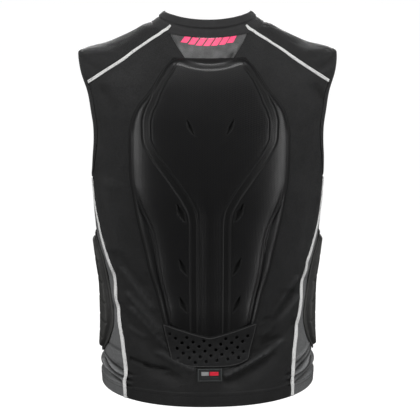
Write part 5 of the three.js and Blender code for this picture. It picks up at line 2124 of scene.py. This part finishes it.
@dataclass
class RibPads(SubAssembly):
    """The moulded foam pads over the lower ribs, with their rims and flex grooves."""

    top: float = 350
    length: float = 212
    half_depth: float = 55
    height: float = 9
    edge_height: float = 3
    seat: float = 1.4
    rim: float = 8
    outline: tuple = ((0, 0.2), (0.07, 0.52), (0.2, 0.78), (0.41, 0.86), (0.66, 1), (0.82, 0.88), (0.965, 0.5), (1, 0.3))
    grooves: tuple = (0.18, 0.34, 0.5, 0.66, 0.81)
    groove_slope: float = 0.22

    def margin(self, y: Grid, down: Grid, half: Grid) -> Grid:
        """How far inside the pad's outline a place is."""
        ends = np.minimum(down - self.top, self.top + self.length - down)
        return np.minimum(half - np.abs(y), ends * 0.9)

    def relief(self, y: Grid, down: Grid, half: Grid) -> Grid:
        """The pad's height over the cloth.

        Args:
            y: Distances behind or before the side line.
            down: Levels.
            half: Half its depth at those levels.

        Returns:
            Heights in millimetres.
        """
        margin = self.margin(y, down, half)
        lip = self.edge_height - 1.2 + 1.2 * np.sqrt(np.clip(1 - (1 - np.clip(margin / 2.2, 0, 1)) ** 2, 0, 1))
        gutter = -0.9 * bump(margin - self.rim + 1.5, 1.5)
        body = (self.height - self.edge_height - 0.6) * ease(self.rim - 1, self.rim + 4, margin)
        spine = -1.4 * bump(y, 3.2) * ease(self.rim + 4, self.rim + 12, margin)
        flex = np.zeros_like(y)
        for share in self.grooves:
            level = self.top + share * self.length + self.groove_slope * np.abs(y)
            flex = flex + bump(down - level, 2.1)
        panel = ease(self.rim + 1, self.rim + 5, margin)
        return lip + gutter + body + spine - 2.2 * flex * panel

    def build(self, side: Side) -> Piece:
        """Makes one rib pad.

        Args:
            side: Which side.

        Returns:
            The pad.
        """
        body = self.maker.body
        share = joined(evenly(0, 0.03, 3), evenly(0.03, 0.97, 150), evenly(0.97, 1, 3))[:, None]
        down = self.top + share * self.length
        half = scaled(self.outline, 1, self.half_depth)(share)
        rib = evenly(-1, 1, 72)[None, :]
        rib = np.sign(rib) * (1 - (1 - np.abs(rib)) ** 1.15)
        y = rib * half
        down = np.broadcast_to(down, y.shape)
        around = side.value * body.turn_at_y(y, down)
        half = np.broadcast_to(half, y.shape)
        outer = body.raised(around, down, self.relief(y, down, half))
        inner = body.raised(around, down, self.seat)
        uv = np.stack([y, down], axis=-1)
        piece = self.maker.fabrication.shell(f"rib_pad_foam_{side.word}", outer, inner, uv)
        # Painted shade in the gutter inside the rim, which the finish darkens.
        self.maker.fabrication.mark(piece, "shade", 0.9 * bump(self.margin(y, down, half) - self.rim + 2.2, 3.4))
        self.dressed(piece, self.maker.finishes.moulded_foam, Slot.MOULDED_FOAM, f"rib_pad_{side.word}")
        return piece


@dataclass
class HemLabel(SubAssembly):
    """The small woven label above the hem band."""

    top: float = 560
    half_width: float = 20
    length: float = 21
    thickness: float = 1
    seat_gap: float = 0.45

    def build(self) -> Piece:
        """Makes the label with its ends turned under.

        Returns:
            The label.
        """
        body = self.maker.body
        down = evenly(self.top, self.top + self.length, 20)[:, None]
        x = evenly(-self.half_width, self.half_width, 40)[None, :]
        x, down = np.broadcast_arrays(x, down)
        around = body.turn_at_x(x, down)
        from_end = self.half_width - np.abs(x)
        ends = 0.35 * bump(from_end - 2.6, 1.2) - 0.3 * (1 - ease(0, 1.2, from_end))
        seat = body.lift(around, down) + self.seat_gap
        soft = 0.15 * np.sin(x / 5) * np.sin(down / 4)
        outer = body.raised(around, down, seat + self.thickness + ends + soft)
        inner = body.raised(around, down, seat)
        uv = np.stack([x, down - self.top], axis=-1)
        piece = self.maker.fabrication.shell("woven_label", outer, inner, uv)
        return self.dressed(piece, self.maker.finishes.label_weave, Slot.LABEL_WEAVE, "hem_label")

    def stitches(self) -> list[Piece]:
        """The short rows that hold the label's two ends.

        Returns:
            The rows of stitches.
        """
        body, rows = self.maker.body, []
        for side in Side:
            down = evenly(self.top + 1.5, self.top + self.length - 1.5, 12)
            x = np.full_like(down, side.value * (self.half_width - 2.6))
            around = body.turn_at_x(x, down)
            height = body.lift(around, down) + self.seat_gap + self.thickness + 0.3
            name, thread = f"label_stitches_{side.word}", self.maker.finishes.grey_thread
            stitch = Stitch(2.2, 0.9, 0.24)
            rows.append(self.seamed(name, around, down, height, stitch, thread, Slot.LABEL_WEAVE, closed=False))
        return rows


# Studio


@dataclass
class Studio:
    """A pale floor, soft lights and the photograph's camera."""

    floor_level: float = -1.02
    aim: tuple[float, float, float] = (0.004, 0.0, -0.3164)
    distance: float = 2.6
    elevation: float = 12.0
    azimuth: float = -2.0
    lens: float = 132.65
    room_radius: float = 24.0
    white: float = 1.0
    ambient: float = 0.052

    def camera(self) -> None:
        """Sets the camera behind the vest, a little above it."""
        data = bpy.data.cameras.new("camera")
        data.lens, data.sensor_width = self.lens, 36
        data.clip_start, data.clip_end = 0.05, 60
        camera = bpy.data.objects.new("camera", data)
        a, e = math.radians(self.azimuth), math.radians(self.elevation)
        back = Vector((math.sin(a) * math.cos(e), -math.cos(a) * math.cos(e), math.sin(e)))
        camera.location = Vector(self.aim) + back * self.distance
        camera.rotation_euler = (-back).to_track_quat("-Z", "Y").to_euler()
        bpy.context.scene.collection.objects.link(camera)
        bpy.context.scene.camera = camera

    def unlit(self, name: str, mesh: bpy.types.Mesh) -> Piece:
        """A pale piece of the studio that the lens sees but that throws no light on the vest.

        Args:
            name: Its name.
            mesh: Its mesh.

        Returns:
            The object.
        """
        piece = bpy.data.objects.new(name, mesh)
        weave = Weave(f"pale {name}")
        Sheen(roughness=0.9, specular=0.0, sheen=0).dress(weave)
        weave.shader.inputs["Base Color"].default_value = (0.1, 0.1, 0.1, 1)
        weave.shader.inputs["Emission Color"].default_value = (1, 1, 1, 1)
        weave.shader.inputs["Emission Strength"].default_value = self.white
        mesh.materials.append(weave.material)
        piece.visible_diffuse = piece.visible_glossy = piece.visible_shadow = False
        bpy.context.scene.collection.objects.link(piece)
        return piece

    def floor(self) -> None:
        """Lays the pale floor."""
        mesh = bpy.data.meshes.new("floor")
        size = self.room_radius
        corners = [(-size, -size), (size, -size), (size, size), (-size, size)]
        mesh.from_pydata([(x, y, self.floor_level) for x, y in corners], [], [(0, 1, 2, 3)])
        self.unlit("floor", mesh)

    def surround(self) -> None:
        """Hangs the pale sweep round the studio."""
        cage = bmesh.new()
        bmesh.ops.create_icosphere(cage, subdivisions=4, radius=self.room_radius)
        mesh = bpy.data.meshes.new("surround")
        cage.to_mesh(mesh)
        cage.free()
        self.unlit("surround", mesh)

    def light(self, name: str, place: tuple[float, float, float], size: tuple[float, float], power: float) -> None:
        """Hangs one soft light that faces the vest.

        Args:
            name: Its name.
            place: Where it hangs, in metres.
            size: Its width and height.
            power: Its power in watts.
        """
        data = bpy.data.lights.new(name, "AREA")
        data.shape, data.size, data.size_y, data.energy = "RECTANGLE", *size, power
        lamp = bpy.data.objects.new(name, data)
        lamp.location = place
        lamp.rotation_euler = (Vector((0, 0, -0.3)) - Vector(place)).to_track_quat("-Z", "Y").to_euler()
        bpy.context.scene.collection.objects.link(lamp)

    def backdrop(self) -> None:
        """Fills the room with even pale light."""
        world = bpy.data.worlds.new("room")
        world.use_nodes = True
        background = world.node_tree.nodes["Background"]
        background.inputs["Color"].default_value = (1, 1, 1, 1)
        background.inputs["Strength"].default_value = self.ambient
        bpy.context.scene.world = world

    def build(self) -> None:
        """Sets up the whole studio."""
        bpy.context.scene.view_settings.view_transform = "Standard"
        self.camera()
        self.floor()
        self.surround()
        self.backdrop()
        self.light("left softbox", (-2.1, -1.1, -0.05), (0.8, 2.0), 55)
        self.light("right softbox", (2.1, -1.1, -0.3), (0.8, 2.0), 55)
        self.light("overhead softbox", (0, -1.25, 2.0), (0.9, 0.6), 74)
        self.light("front softbox", (0, 2.3, 0.5), (1.4, 1.2), 70)


def main() -> None:
    """Builds every piece in order and reports it."""
    logging.basicConfig(level=logging.INFO, format="%(message)s")
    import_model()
    maker = Maker(Pattern(), Fabrication(), Finishes())
    panels, collar, bindings = Panels(maker), Collar(maker), ArmholeBindings(maker)
    piping, protector, label = Piping(maker), BackProtector(maker), HemLabel(maker)
    patch = LumbarPatch(maker, protector)

    back = panels.back()
    front = panels.front()
    nape = panels.nape()
    bars = NapePrint(maker).build()
    collar.build()
    collar.stitches()
    panels.hem_stitches()
    sides, yokes = {}, {}
    for side in Side:
        sides[side], yokes[side] = panels.side(side), panels.yoke(side)
        bindings.build(side)
        bindings.stitches(side)
        piping.shoulder(side, collar)
        piping.side(side)
        RibPads(maker).build(side)
    protector.build()
    protector.edge_cord()
    foam = patch.build()
    finishes = maker.finishes
    edging = patch.edging("lumbar_patch_edging", 0.9, patch.thickness - 0.1, 0.8, finishes.grey_thread)
    # Painted shadow: a dark cord laid just outside the patch's outline.
    shadow = patch.edging("lumbar_patch_shadow_ring", -0.9, 0.1, 1.3, finishes.dark_thread)
    label.build()
    label.stitches()
    Studio().build()
    for piece in maker.fabrication.made:
        LOG.info("%s: %d faces", piece.name, len(piece.data.polygons))


if __name__ == "__main__":
    main()
